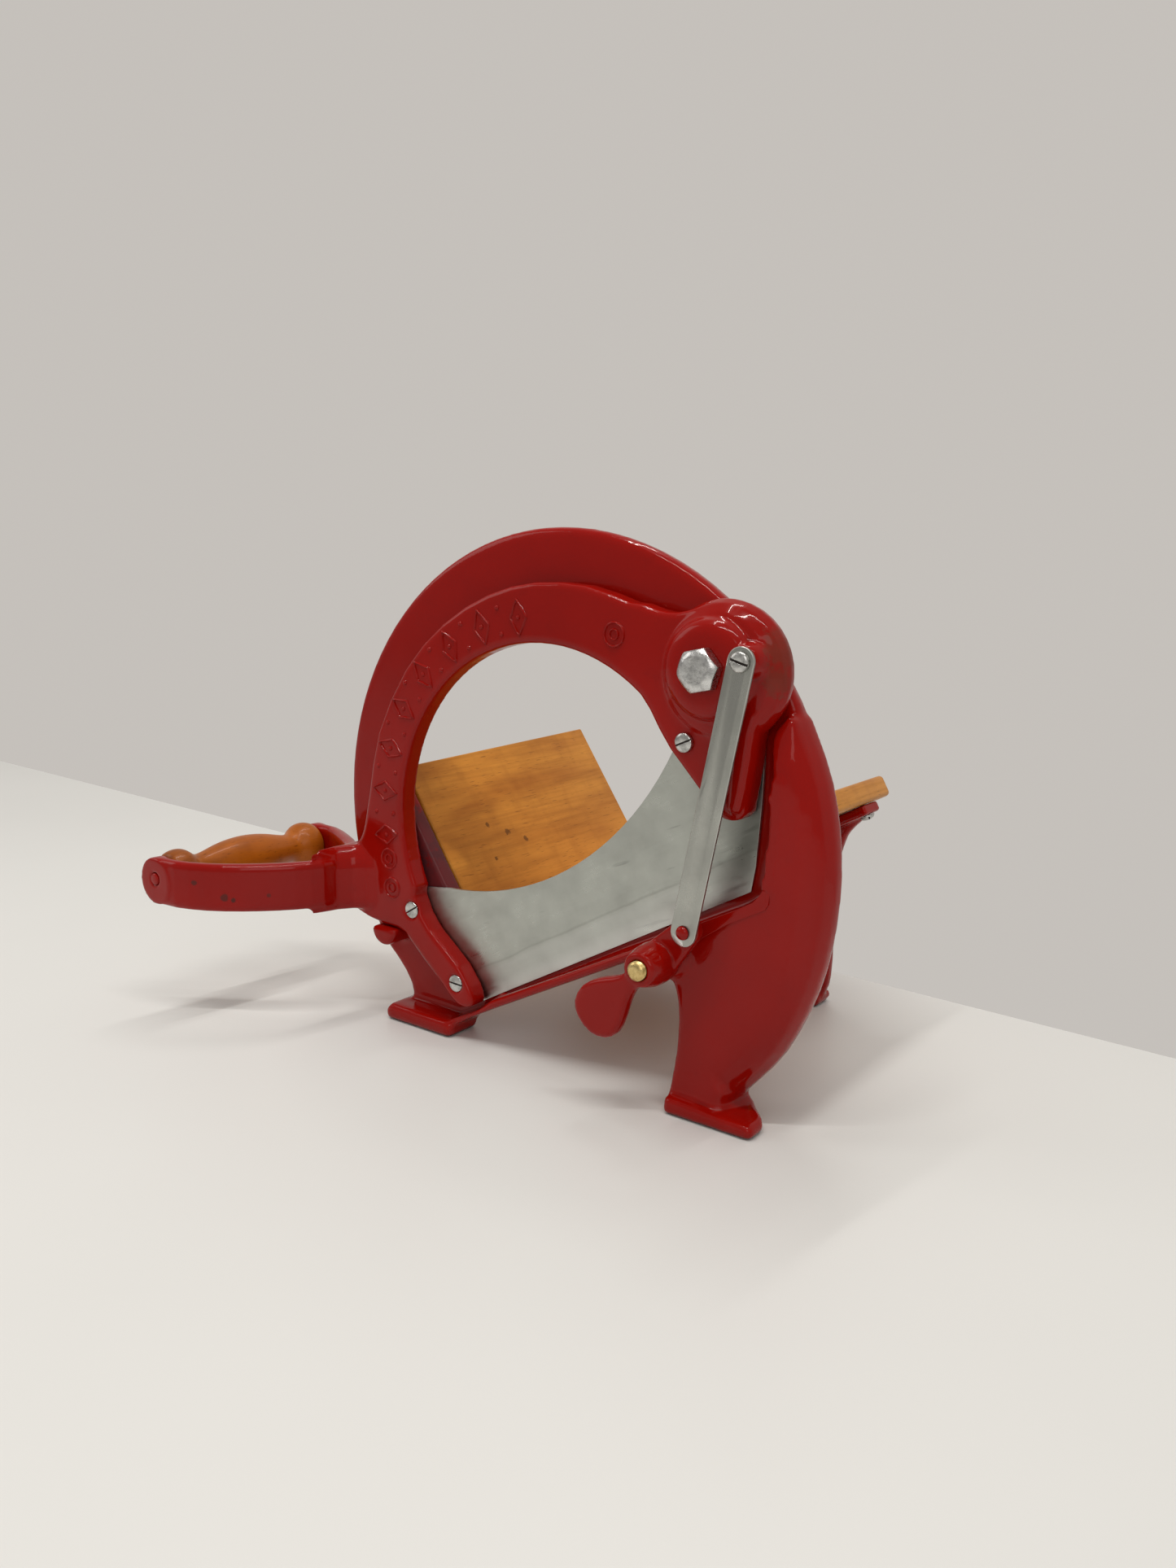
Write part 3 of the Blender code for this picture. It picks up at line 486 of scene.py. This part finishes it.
def wood(name, pale, dark, turn=0.0, coat=0.12, ring=1.0, spots=()):
    """Oiled hardwood with its grain along Y, darker figure, pores and a few knots."""
    f = Finish(name, Specular_IOR_Level=0.16, Coat_Weight=coat, Coat_Roughness=0.12)
    fibre = f.noise(420.0, stretch=(1.0, 30.0, 1.0), turn=(0, turn, 0), detail=4.0, rough=0.6)
    figure = f.noise(55.0 * ring, stretch=(1.0, 7.0, 1.0), turn=(0, turn, 3.0), detail=4.0, rough=0.55)
    cloud = f.noise(17.0, stretch=(1.0, 1.6, 1.0), detail=4.0, shift=(0.21, 0.4, 0.1))
    flame = f.noise(95.0, stretch=(2.6, 1.0, 2.6), detail=3.0)
    pores = f.noise(1500.0, stretch=(1.0, 14.0, 1.0), detail=1.0)
    colour = f.mix(f.span(figure, 0.34, 0.68), pale, dark)
    colour = f.mix(f.span(fibre, 0.45, 0.78, 0.0, 0.45), colour, shade(dark, 0.62))
    colour = f.mix(f.span(cloud, 0.42, 0.68, 0.0, 0.70), colour, shade(pale, 1.25))
    colour = f.mix(f.span(flame, 0.50, 0.75, 0.0, 0.30), colour, shade(dark, 0.85))
    colour = f.mix(f.span(pores, 0.66, 0.75, 0.0, 0.55), colour, shade(dark, 0.35))
    rough = f.span(fibre, 0.3, 0.7, 0.30, 0.46)
    for centre, radius in spots:
        patch = f.spot(centre, radius, ragged=0.75, grain=320.0)
        colour = f.mix(f.maths("MULTIPLY", patch, 0.75), colour, shade(dark, 0.25))
    worn = f.edges(0.53, 0.57)
    colour = f.mix(f.maths("MULTIPLY", worn, 0.45), colour, shade(dark, 0.45))
    f.colour(colour)
    f.roughness(rough)
    f.bump((fibre, 0.04), (figure, 0.06), (f.maths("MULTIPLY", pores, -1.0), 0.02))
    return f.material


BROWN = (0.13, 0.030, 0.016)
CHIP = (0.040, 0.014, 0.010)
BARE = (0.36, 0.27, 0.14)
# The tint of the painted shade in the window.
WINDOW_SHADE_TINT = (0.085, 0.020, 0.024)
# Worn patches and patches of painted shade: centre, radius, tint and how strongly it covers the paint
HUB_WEAR = [
    ((134, 4, 105), 9.0, BROWN, 0.45),
    ((133, 2, 90), 7.0, BROWN, 0.45),
    ((136, 6, 97), 12.0, BROWN, 0.25),
]
FORK_CHIPS = [
    ((-176, -66, -51), 2.4, CHIP, 0.7),
    ((-172, -63.5, -52.5), 1.7, CHIP, 0.8),
    ((-192, -75, -43), 1.6, CHIP, 0.7),
    ((-158, -49.5, -50), 1.2, CHIP, 0.6),
    ((97.4, -0.5, 65.9), 1.5, BARE, 0.9),
]
# Painted shade on the unlit left wall of the window, beside the left board.
WINDOW_PAINTED_SHADE = [((-102, 24, -20), 20.0, WINDOW_SHADE_TINT, 0.8), ((-90, 24, -40), 20.0, WINDOW_SHADE_TINT, 0.8)]
FRAME_RED = enamel("enamel_frame", wear_and_shade=WINDOW_PAINTED_SHADE, dark_feet=True)
ARM_RED = enamel("enamel_arm", wear_and_shade=HUB_WEAR + FORK_CHIPS)
LEVER_RED = enamel("enamel_lever")
BLADE_STEEL = steel("steel_blade", (0.47, 0.485, 0.445), turn=-29.3, stain=0.12, ground=True)
LINK_STEEL = steel("steel_link", (0.44, 0.445, 0.41), turn=-78.4, low=0.24, high=0.40, stain=0.22)
ZINC = zinc("zinc_screws", lump=0.05)
ZINC_LUMPY = zinc("zinc_bolt", tint=(0.66, 0.66, 0.65), lump=0.22)
BRASS = brass()
SLOT_DIRT_AND_SHADE = darkening()
BOARD_SPOTS = [((-92, 84, -26), 2.2), ((-97, 70, -20), 1.6), ((-84, 64, -38), 1.5), ((-88, 97, -32), 1.8)]
BOARD_PALE, BOARD_DARK = (0.66, 0.275, 0.036), (0.40, 0.132, 0.013)
GRIP_PALE, GRIP_DARK = (0.37, 0.098, 0.006), (0.19, 0.042, 0.003)
BOARD_WOOD = wood("wood_boards", BOARD_PALE, BOARD_DARK, spots=BOARD_SPOTS)
GRIP_WOOD = wood("wood_grip", GRIP_PALE, GRIP_DARK, coat=0.10, ring=2.0)


# Castings


def casting(node, body, voxel, passes, finish):
    """A CAD solid with a casting's soft edges and fillets."""
    mesh = bmesh.new()
    mesh.from_mesh(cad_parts[node].data)
    obj = new_object(f"{node}_cast", mesh)
    remake(obj, voxel, passes)
    dress(obj, body, finish, [node])


casting("frame", "frame", 1.35, 9, FRAME_RED)
casting("blade_arm", "arm", 0.95, 7, ARM_RED)
casting("rear_stand", "frame", 1.1, 7, FRAME_RED)
casting("stop_lever", "stop_lever", 0.55, 9, LEVER_RED)


# The ornaments' height, and a ridge's section: shares of its width and of that height
RELIEF = 1.05
RELIEF_RISE = ((0.0, 0.5), (0.10, -0.08), (0.30, -0.62))
RELIEF_SECTION = (*RELIEF_RISE, (0.50, -1.0), (0.70, -0.62), (0.90, -0.08), (1.0, 0.5))


def ridge(mesh, outline, width):
    """A closed ridge on the arm's front face: the outline's rim, with flared foot and round top."""
    centre = Vector((sum(p[0] for p in outline), sum(p[1] for p in outline))) / len(outline)
    rings = []
    for across, height in RELIEF_SECTION:
        ring = []
        for point in outline:
            out = Vector(point) - centre
            at = centre + out * (1.0 - across * width / out.length)
            ring.append(mesh.verts.new(place(at.x, height * RELIEF, at.y)))
        rings.append(ring)
    skin(mesh, rings + rings[:1])


def bead(mesh, centre, radius):
    """A low round bead on the arm's front face."""
    rings = []
    for share, height in ((1.0, 0.5), (0.92, 0.0), (0.74, -0.5), (0.45, -0.85), (0.18, -0.98)):
        points = arc(centre, radius * share, 0, 345, 23)
        rings.append([mesh.verts.new(place(x, height * RELIEF, z)) for x, z in points])
    closed(mesh, rings)


def superellipse(centre, angle, long_half, short_half, power=1.06, steps=48):
    """A lozenge with soft corners, its long axis at an angle."""
    points = []
    for i in range(steps):
        turn = 2 * math.pi * i / steps
        c, t = math.cos(turn), math.sin(turn)
        reach = (abs(c / long_half) ** power + abs(t / short_half) ** power) ** (-1.0 / power)
        points.append(polar(centre, reach, angle + math.degrees(turn)))
    return points


def ring_ornaments():
    """Plain cast ornaments round the arm's ring: lozenges with beads between them, and rosettes."""
    mesh = bmesh.new()
    for step in range(8):
        angle = 188.0 - ORNAMENT_STEP * step
        centre = polar((0, 0), ORNAMENT_RADIUS, angle)
        ridge(mesh, superellipse(centre, angle, 10.2, 6.4), 2.0)
        bead(mesh, centre, 1.5)
        if step < 7:
            for reach in (106.5, 120.3):
                bead(mesh, polar((0, 0), reach, angle - ORNAMENT_STEP / 2), 1.5)
    for centre in (polar((0, 0), 116.5, 66.5), (-110.5, -30.0), (-108.5, -47.0)):
        ridge(mesh, arc(centre, 6.6, 0, 350, 35), 1.7)
        ridge(mesh, arc(centre, 3.2, 0, 350, 35), 1.4)
    bmesh.ops.recalc_face_normals(mesh, faces=mesh.faces)
    obj = dress(new_object("ring_ornaments", mesh), "arm", ARM_RED)


ring_ornaments()


def slot_border():
    """The thin raised border that follows the blade's slot on the right leg."""
    inner = smooth([(133.2, 41.0), (133.8, 21.5), (132.7, 2.2), (130.6, -7), (126, -13)])
    inner += [(118, -17.8), (98, -28.4)]
    outer = [(97.2, -37.2), (112.9, -26.2), (132.6, -15.4)]
    outer += smooth([(134.4, -12.5), (135.8, 9.1), (136.2, 28.5), (135.4, 40.5), (134.3, 43.5)])
    obj = new_object("slot_border", prism(inner + outer, LEG_FACE - 0.55, LEG_FACE + 2.0))
    rounded(obj, 0.45, 3)
    settle(obj)
    sharp(obj, 50)
    dress(obj, "frame", FRAME_RED)


slot_border()


# Blade and link


def ground_blade():
    """The blade with its ground bevel, and its edges just broken."""
    mesh = bmesh.new()
    mesh.from_mesh(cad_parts["blade"].data)
    bmesh.ops.remove_doubles(mesh, verts=mesh.verts, dist=1e-6)
    bmesh.ops.dissolve_limit(mesh, angle_limit=0.01, verts=mesh.verts, edges=mesh.edges)
    across = Vector((-math.sin(BLADE_SLOPE), 0, math.cos(BLADE_SLOPE)))
    start = place(*BLADE_EDGE) + across * BEVEL_WIDTH * MM
    geometry = [*mesh.verts, *mesh.edges, *mesh.faces]
    bmesh.ops.bisect_plane(mesh, geom=geometry, plane_co=start, plane_no=across, dist=1e-7)
    front = place(0, BLADE_FRONT, 0).y
    for vertex in mesh.verts:
        below = (start - vertex.co).dot(across)
        if below > 0 and vertex.co.y < front + 1e-5:
            vertex.co.y += below * BEVEL_DEPTH / BEVEL_WIDTH
    obj = new_object("blade_ground", mesh)
    rounded(obj, 0.12, 2, 40)
    settle(obj)
    dress(obj, "arm", BLADE_STEEL, ["blade"])
    sharp(obj, 3.0)


def steel_link():
    """The flat link with round ends and a hole in each."""
    run = Vector(LINK_END) - Vector(LINK_TOP)
    heading = math.degrees(math.atan2(run.y, run.x))
    outline = arc(LINK_END, LINK_HALF, heading - 90, heading + 90, 32)
    outline += arc(LINK_TOP, LINK_HALF, heading + 90, heading + 270, 32)
    obj = new_object("link_bar", prism(outline, LINK_FRONT, LINK_BACK))
    for axis, hole in ((LINK_TOP, 2.9), (LINK_END, 2.7)):
        cut(obj, on_axis(lathe([(0, -20), (hole, -20), (hole, 0), (0, 0)], 40), axis))
    rounded(obj, 0.45, 3, 50)
    settle(obj)
    dress(obj, "link", LINK_STEEL, ["link"])
    sharp(obj, 40)


ground_blade()
steel_link()


# Fasteners


SLOT_WIDTH = 0.9


def screw(name, profile, body, finish, matrix, slot=None, soften=0.14, segments=56):
    """A turned fastener that stands for the CAD node of that name. The slot is (depth, width, turn)."""
    obj = new_object(f"{name}_turned", lathe(profile, segments))
    if slot:
        depth, width, turn = slot
        front = min(y for _, y in profile) - 1.0
        sides = [(-9, -width / 2), (9, -width / 2), (9, width / 2), (-9, width / 2)]
        cutter = bmesh.new()
        rings = [[cutter.verts.new((x * MM, y * MM, z * MM)) for x, z in sides] for y in (front, depth)]
        closed(cutter, rings)
        bmesh.ops.recalc_face_normals(cutter, faces=cutter.faces)
        cut(obj, moved(cutter, Matrix.Rotation(math.radians(turn), 4, "Y")))
    rounded(obj, soften, 2, 40)
    settle(obj)
    # Faces inside the slot take the slot's dirt and painted shade.
    dirt_and_shade_faces = []
    if slot:
        back = Matrix.Rotation(math.radians(-turn), 3, "Y")
        for face in obj.data.polygons:
            centre = back @ face.center / MM
            if abs(centre.z) < width / 2 + 0.03 and front + 1.25 < centre.y < depth + 0.05:
                dirt_and_shade_faces.append(face.index)
    obj.data.transform(matrix)
    dress(obj, body, finish, [name])
    if dirt_and_shade_faces:
        obj.data.materials.append(SLOT_DIRT_AND_SHADE)
        for index in dirt_and_shade_faces:
            obj.data.polygons[index].material_index = 1
    sharp(obj, 50)
    return obj


END = BLADE_BACK - 0.1
SHANK = [(SCREW_SHANK, END), (0, END)]
UNDER_HEAD = [(SCREW_SHANK, -GAP), *SHANK]
COUNTERSUNK = [(0, 0.05), (3.6, 0.08), (4.6, 0.2), (4.9, 0.55), (SCREW_SHANK, 3.4), *SHANK]
CHEESE = [(0, -2.9), (2.6, -2.85), (3.9, -2.6), (4.6, -2.1), (4.7, -GAP), *UNDER_HEAD]
LOW = [(0, -1.9), (2.4, -1.85), (3.3, -1.5), (3.6, -1.0), (3.6, -GAP), *UNDER_HEAD]
for name, profile, place_on_arm, depth, turn in (
    ("tail_screw_upper", COUNTERSUNK, (-93.4, -57.8), 1.3, -32),
    ("tail_screw_lower", COUNTERSUNK, (-59.3, -94.4), 1.3, 2),
    ("web_screw", CHEESE, (88.6, 58.6), -1.7, -24),
    ("finger_screw", LOW, (107.5, 34.5), -1.1, 60),
):
    screw(name, profile, "arm", ZINC, at_axis(place_on_arm), (depth, SLOT_WIDTH, turn))

HEAD = LINK_FRONT - GAP
LINK_HEAD = [(0, HEAD - 2.3), (2.6, HEAD - 2.25), (3.9, HEAD - 2.0), (4.6, HEAD - 1.4), (4.8, HEAD)]
LINK_HEAD += [(2.3, HEAD), (2.3, -0.5), (0, -0.5)]
screw("link_screw", LINK_HEAD, "arm", ZINC, at_axis(LINK_TOP), (HEAD - 1.0, 1.1, 16))
RIVET = [(0, HEAD - 1.9), (1.2, HEAD - 1.82), (2.3, HEAD - 1.45), (3.1, HEAD - 0.8), (3.5, HEAD)]
RIVET += [(2.4, HEAD), (2.4, LINK_BACK), (0, LINK_BACK)]
screw("link_rivet", RIVET, "link", LEVER_RED, at_axis(LINK_END), soften=0.2)
ROD = [(0, -80.9), (2.9, -80.8), (3.5, -80.2), (3.5, 46.2), (2.9, 46.8), (0, 46.9)]
screw("grip_rod", ROD, "arm", ARM_RED, at_axis(GRIP_AXIS), soften=0.2)


def stud():
    """The brass stud, its end domed and its last threads in view."""
    profile = [(0, -28.0), (2.4, -27.95), (3.8, -27.6), (4.35, -27.0)]
    for turn in range(10):
        start = -26.9 + 0.62 * turn
        profile += [(4.8, start + 0.28), (4.42, start + 0.60)]
    profile += [(4.8, -20.0), (4.8, 8.0), (0, 8.0)]
    screw("stop_stud", profile, "frame", BRASS, at_axis(STOP_AXIS), soften=0.03)


stud()


def hexagon(node, front, back, finish, domed, shank=None, bore=None):
    """A lumpy galvanised hexagon, its corners rounded off on the outer side."""
    corner = HEXAGON_FLATS / 2 / math.cos(math.radians(30))
    outline = arc(PIVOT, corner, 12, 312, 5)
    obj = new_object(f"{node}_forged", prism(outline, front, back))
    step = 1 if domed else -1
    face, root = (front, back) if domed else (back, front)
    cone = [(0, face - step * 0.01), (6.8, face), (8.6, face + step * 0.8), (10.2, face + step * 2.0)]
    cone += [(11.6, face + step * 3.6), (12.4, root + step * 0.5), (0, root + step * 0.5)]
    cut(obj, on_axis(lathe(cone, 48), PIVOT), "INTERSECT")
    if bore:
        hole = [(0, front - 5), (bore, front - 5), (bore, back + 5), (0, back + 5)]
        cut(obj, on_axis(lathe(hole, 40), PIVOT))
    remake(obj, 0.4, 4)
    dress(obj, "frame", finish, [node])
    if shank:
        profile = [(0, back - 1.0), (6.0, back - 1.0), (6.0, shank - 0.8), (5.2, shank), (0, shank)]
        bolt = new_object(f"{node}_shank", on_axis(lathe(profile, 48), PIVOT))
        dress(bolt, "frame", finish)
        sharp(bolt)


BOSS_BACK = FRAME_BACK + 6.0
NUT_START = BOSS_BACK + GAP
hexagon("pivot_bolt", -18.0, -10.3, ZINC_LUMPY, True, shank=BOSS_BACK + 15)
hexagon("pivot_nut", NUT_START + 2 + GAP, NUT_START + 12, ZINC, False, bore=6.3)
for name, radius, front, back in (
    ("pivot_washer", 13.0, BLADE_FRONT, 14.7),
    ("pivot_nut_washer", 12.0, NUT_START, NUT_START + 2),
):
    ring = [(6.4, front), (radius, front), (radius, back), (6.4, back)]
    screw(name, ring, "frame", ZINC, at_axis(PIVOT), soften=0.2)


# Boards and their screws


def under_board(slope, along, y, height):
    """Carries a solid made along +Y to a place under a board, pointing up out of the bed plane."""
    normal = Vector(trough(slope, along, 1.0)) - Vector(trough(slope, along, 0.0))
    turn = Vector((0, 1, 0)).rotation_difference(Vector((normal.x, 0, normal.y)))
    x, z = trough(slope, along, height)
    return Matrix.Translation(place(x, y, z)) @ turn.to_matrix().to_4x4()


def wood_screws():
    """Two screws at each of the four ledges, up into the boards."""
    height = -BOARD_THICK - GAP - LEDGE_THICK - GAP
    profile = [(0, -2.6), (1.6, -2.5), (3.2, -1.95), (4.2, -1.0), (4.6, 0)]
    profile += [(SCREW_SHANK, 0), (SCREW_SHANK, 15), (0, 17)]
    for side, slope, rows in (("right", RIGHT_SLOPE, (32.0, 178.0)), ("left", LEFT_SLOPE, (22.0, 84.0))):
        for end, y in (("front", FRONT_SCREW_Y), ("rear", REAR_SCREW_Y)):
            for level, along in zip(("low", "high"), rows):
                slot = (-1.3, SLOT_WIDTH, 35.0 * along + 3.0 * y)
                matrix = under_board(slope, along, y, height)
                name = f"board_screw_{side}_{end}_{level}"
                screw(name, profile, "frame", ZINC, matrix, slot, segments=40)


def board(side, outline, edge):
    """A planed board with rounded edges. The left one widens a little away from the frame."""
    obj = new_object(f"board_{side}_planed", prism(outline, FRAME_BACK + GAP, BOARD_END))
    if side == "left":
        corner = place(CORNER[0], FRAME_BACK, CORNER[1])
        up = Vector((math.cos(math.radians(LEFT_SLOPE)), 0, math.sin(math.radians(LEFT_SLOPE))))
        for vertex in obj.data.vertices:
            offset = vertex.co - corner
            stretch = LEFT_FLARE * offset.y / ((BOARD_END - FRAME_BACK) * MM)
            vertex.co += up * offset.dot(up) * stretch
    rounded(obj, edge, 4, 30)
    settle(obj)
    dress(obj, "frame", BOARD_WOOD, [f"board_{side}"])
    sharp(obj, 50)


thick = -BOARD_THICK
right_section = ((1.6, thick), (RIGHT_LENGTH, thick), (RIGHT_LENGTH, 0), (0.4, 0))
left_section = ((LEFT_FOOT, 0), (LEFT_LENGTH, 0), (LEFT_LENGTH, thick), (LEFT_FOOT, thick))
board("right", [trough(RIGHT_SLOPE, *corner) for corner in right_section], 2.6)
board("left", [trough(LEFT_SLOPE, *corner) for corner in left_section], 1.3)
wood_screws()


# Grip


def grip():
    """The turned grip: two bulbs, two necks and a swelling."""
    half = [(11.0, 0.0), (13.2, 1.4), (14.5, 4.5), (14.9, 8.0), (14.2, 11.5), (12.4, 14.5), (10.4, 17.2)]
    half += [(9.4, 20.5), (9.7, 24.5), (11.0, 30.0), (12.7, 37.0), (14.0, 45.0)]
    outline = [(r, GRIP_FRONT + y) for r, y in half]
    outline += [(14.6, (GRIP_FRONT + GRIP_BACK) / 2)]
    outline += [(r, GRIP_BACK - y) for r, y in reversed(half)]
    profile = [(3.9, GRIP_FRONT), *smooth(outline), (3.9, GRIP_BACK)]
    obj = new_object("grip_turned", on_axis(lathe(profile, 96), GRIP_AXIS))
    dress(obj, "grip", GRIP_WOOD, ["handle_grip"])
    sharp(obj, 45)


grip()


# Surroundings


def plain(name, colour, roughness):
    """A smooth painted surface, a touch uneven in tone."""
    f = Finish(name)
    cloud = f.noise(3.0, detail=3.0)
    f.colour(f.mix(f.span(cloud, 0.3, 0.7), colour, shade(colour, 0.97)))
    f.roughness(roughness)
    return f.material


def quad(name, corners, finish):
    """A flat surface that isn't part of the object."""
    mesh = bmesh.new()
    mesh.faces.new([mesh.verts.new(corner) for corner in corners])
    obj = new_object(name, mesh)
    obj.data.materials.append(finish)


FLOOR = plain("table_white", (0.735, 0.735, 0.715), 0.42)
BACK_LEFT, BACK_RIGHT = (-550.0, 277.0), (250.0, 236.0)


def back_edge(x):
    """A point of the table's far edge, with the pale room beyond it."""
    share = (x - BACK_LEFT[0]) / (BACK_RIGHT[0] - BACK_LEFT[0])
    y = BACK_LEFT[1] + share * (BACK_RIGHT[1] - BACK_LEFT[1])
    return Vector((*place(x, y, 0).xy, 0.0))


left, right = back_edge(-3000.0), back_edge(3000.0)
quad("table", [(left.x, -2.5, 0), (right.x, -2.5, 0), right, left], FLOOR)


LIGHT_TARGET = Vector((0.0, 0.0, 0.1))
WARM = (1.0, 0.975, 0.94)
SOFT = (1.0, 0.98, 0.95)


def area_light(name, location, size, power, tint):
    """A rectangular light aimed at the object."""
    data = bpy.data.lights.new(name, "AREA")
    data.shape = "RECTANGLE"
    data.size, data.size_y = size
    data.energy = power
    data.color = tint
    obj = bpy.data.objects.new(name, data)
    bpy.context.collection.objects.link(obj)
    obj.location = location
    obj.rotation_euler = (LIGHT_TARGET - Vector(location)).to_track_quat("-Z", "Y").to_euler()


area_light("ceiling_near", (0.35, -0.55, 1.8), (1.5, 0.035), 12.5, WARM)
area_light("ceiling_far", (-0.35, 0.05, 1.9), (1.5, 0.035), 11.0, WARM)
area_light("front_fill", (1.3, -1.7, 1.3), (1.2, 1.2), 7.0, SOFT)
area_light("left_fill", (-1.7, -0.9, 1.2), (1.0, 1.0), 5.0, SOFT)

# The room's light: dimmer in front of the object, paler behind it, as (place in the ramp, colour)
ROOM = ((0.0, (0.37, 0.355, 0.335, 1.0)), (0.35, (0.560, 0.530, 0.497, 1.0)))


def pale_room():
    world = bpy.data.worlds.new("studio")
    bpy.context.scene.world = world
    world.use_nodes = True
    tree = world.node_tree
    background = tree.nodes["Background"]
    direction = tree.nodes.new("ShaderNodeTexCoord")
    split = tree.nodes.new("ShaderNodeSeparateXYZ")
    ramp = tree.nodes.new("ShaderNodeValToRGB")
    ramp.color_ramp.interpolation = "EASE"
    for element, (position, colour) in zip(ramp.color_ramp.elements, ROOM):
        element.position = position
        element.color = colour
    tree.links.new(direction.outputs["Generated"], split.inputs[0])
    tree.links.new(split.outputs["Y"], ramp.inputs["Fac"])
    tree.links.new(ramp.outputs["Color"], background.inputs["Color"])
    background.inputs["Strength"].default_value = 1.0


pale_room()

YAW = math.radians(36.6)
PITCH = math.radians(10.67)
ROLL = math.radians(0.85)
EYE = (383.3, -472.7, 142.7)
LENS = 27.5


def camera():
    """The eye stands to the right of the front, a little above the object."""
    level = Vector((-math.sin(YAW), math.cos(YAW), 0.0))
    forward = level * math.cos(PITCH) - Vector((0, 0, math.sin(PITCH)))
    right = forward.cross(Vector((0, 0, 1))).normalized()
    up = right.cross(forward)
    turned_right = right * math.cos(ROLL) + up * math.sin(ROLL)
    turned_up = up * math.cos(ROLL) - right * math.sin(ROLL)
    basis = Matrix((turned_right, turned_up, -forward)).transposed().to_4x4()
    data = bpy.data.cameras.new("camera")
    data.sensor_width = 36.0
    data.lens = LENS
    obj = bpy.data.objects.new("camera", data)
    bpy.context.collection.objects.link(obj)
    obj.matrix_world = Matrix.Translation(place(*EYE)) @ basis
    bpy.context.scene.camera = obj


camera()
bpy.context.scene.view_settings.view_transform = "Standard"
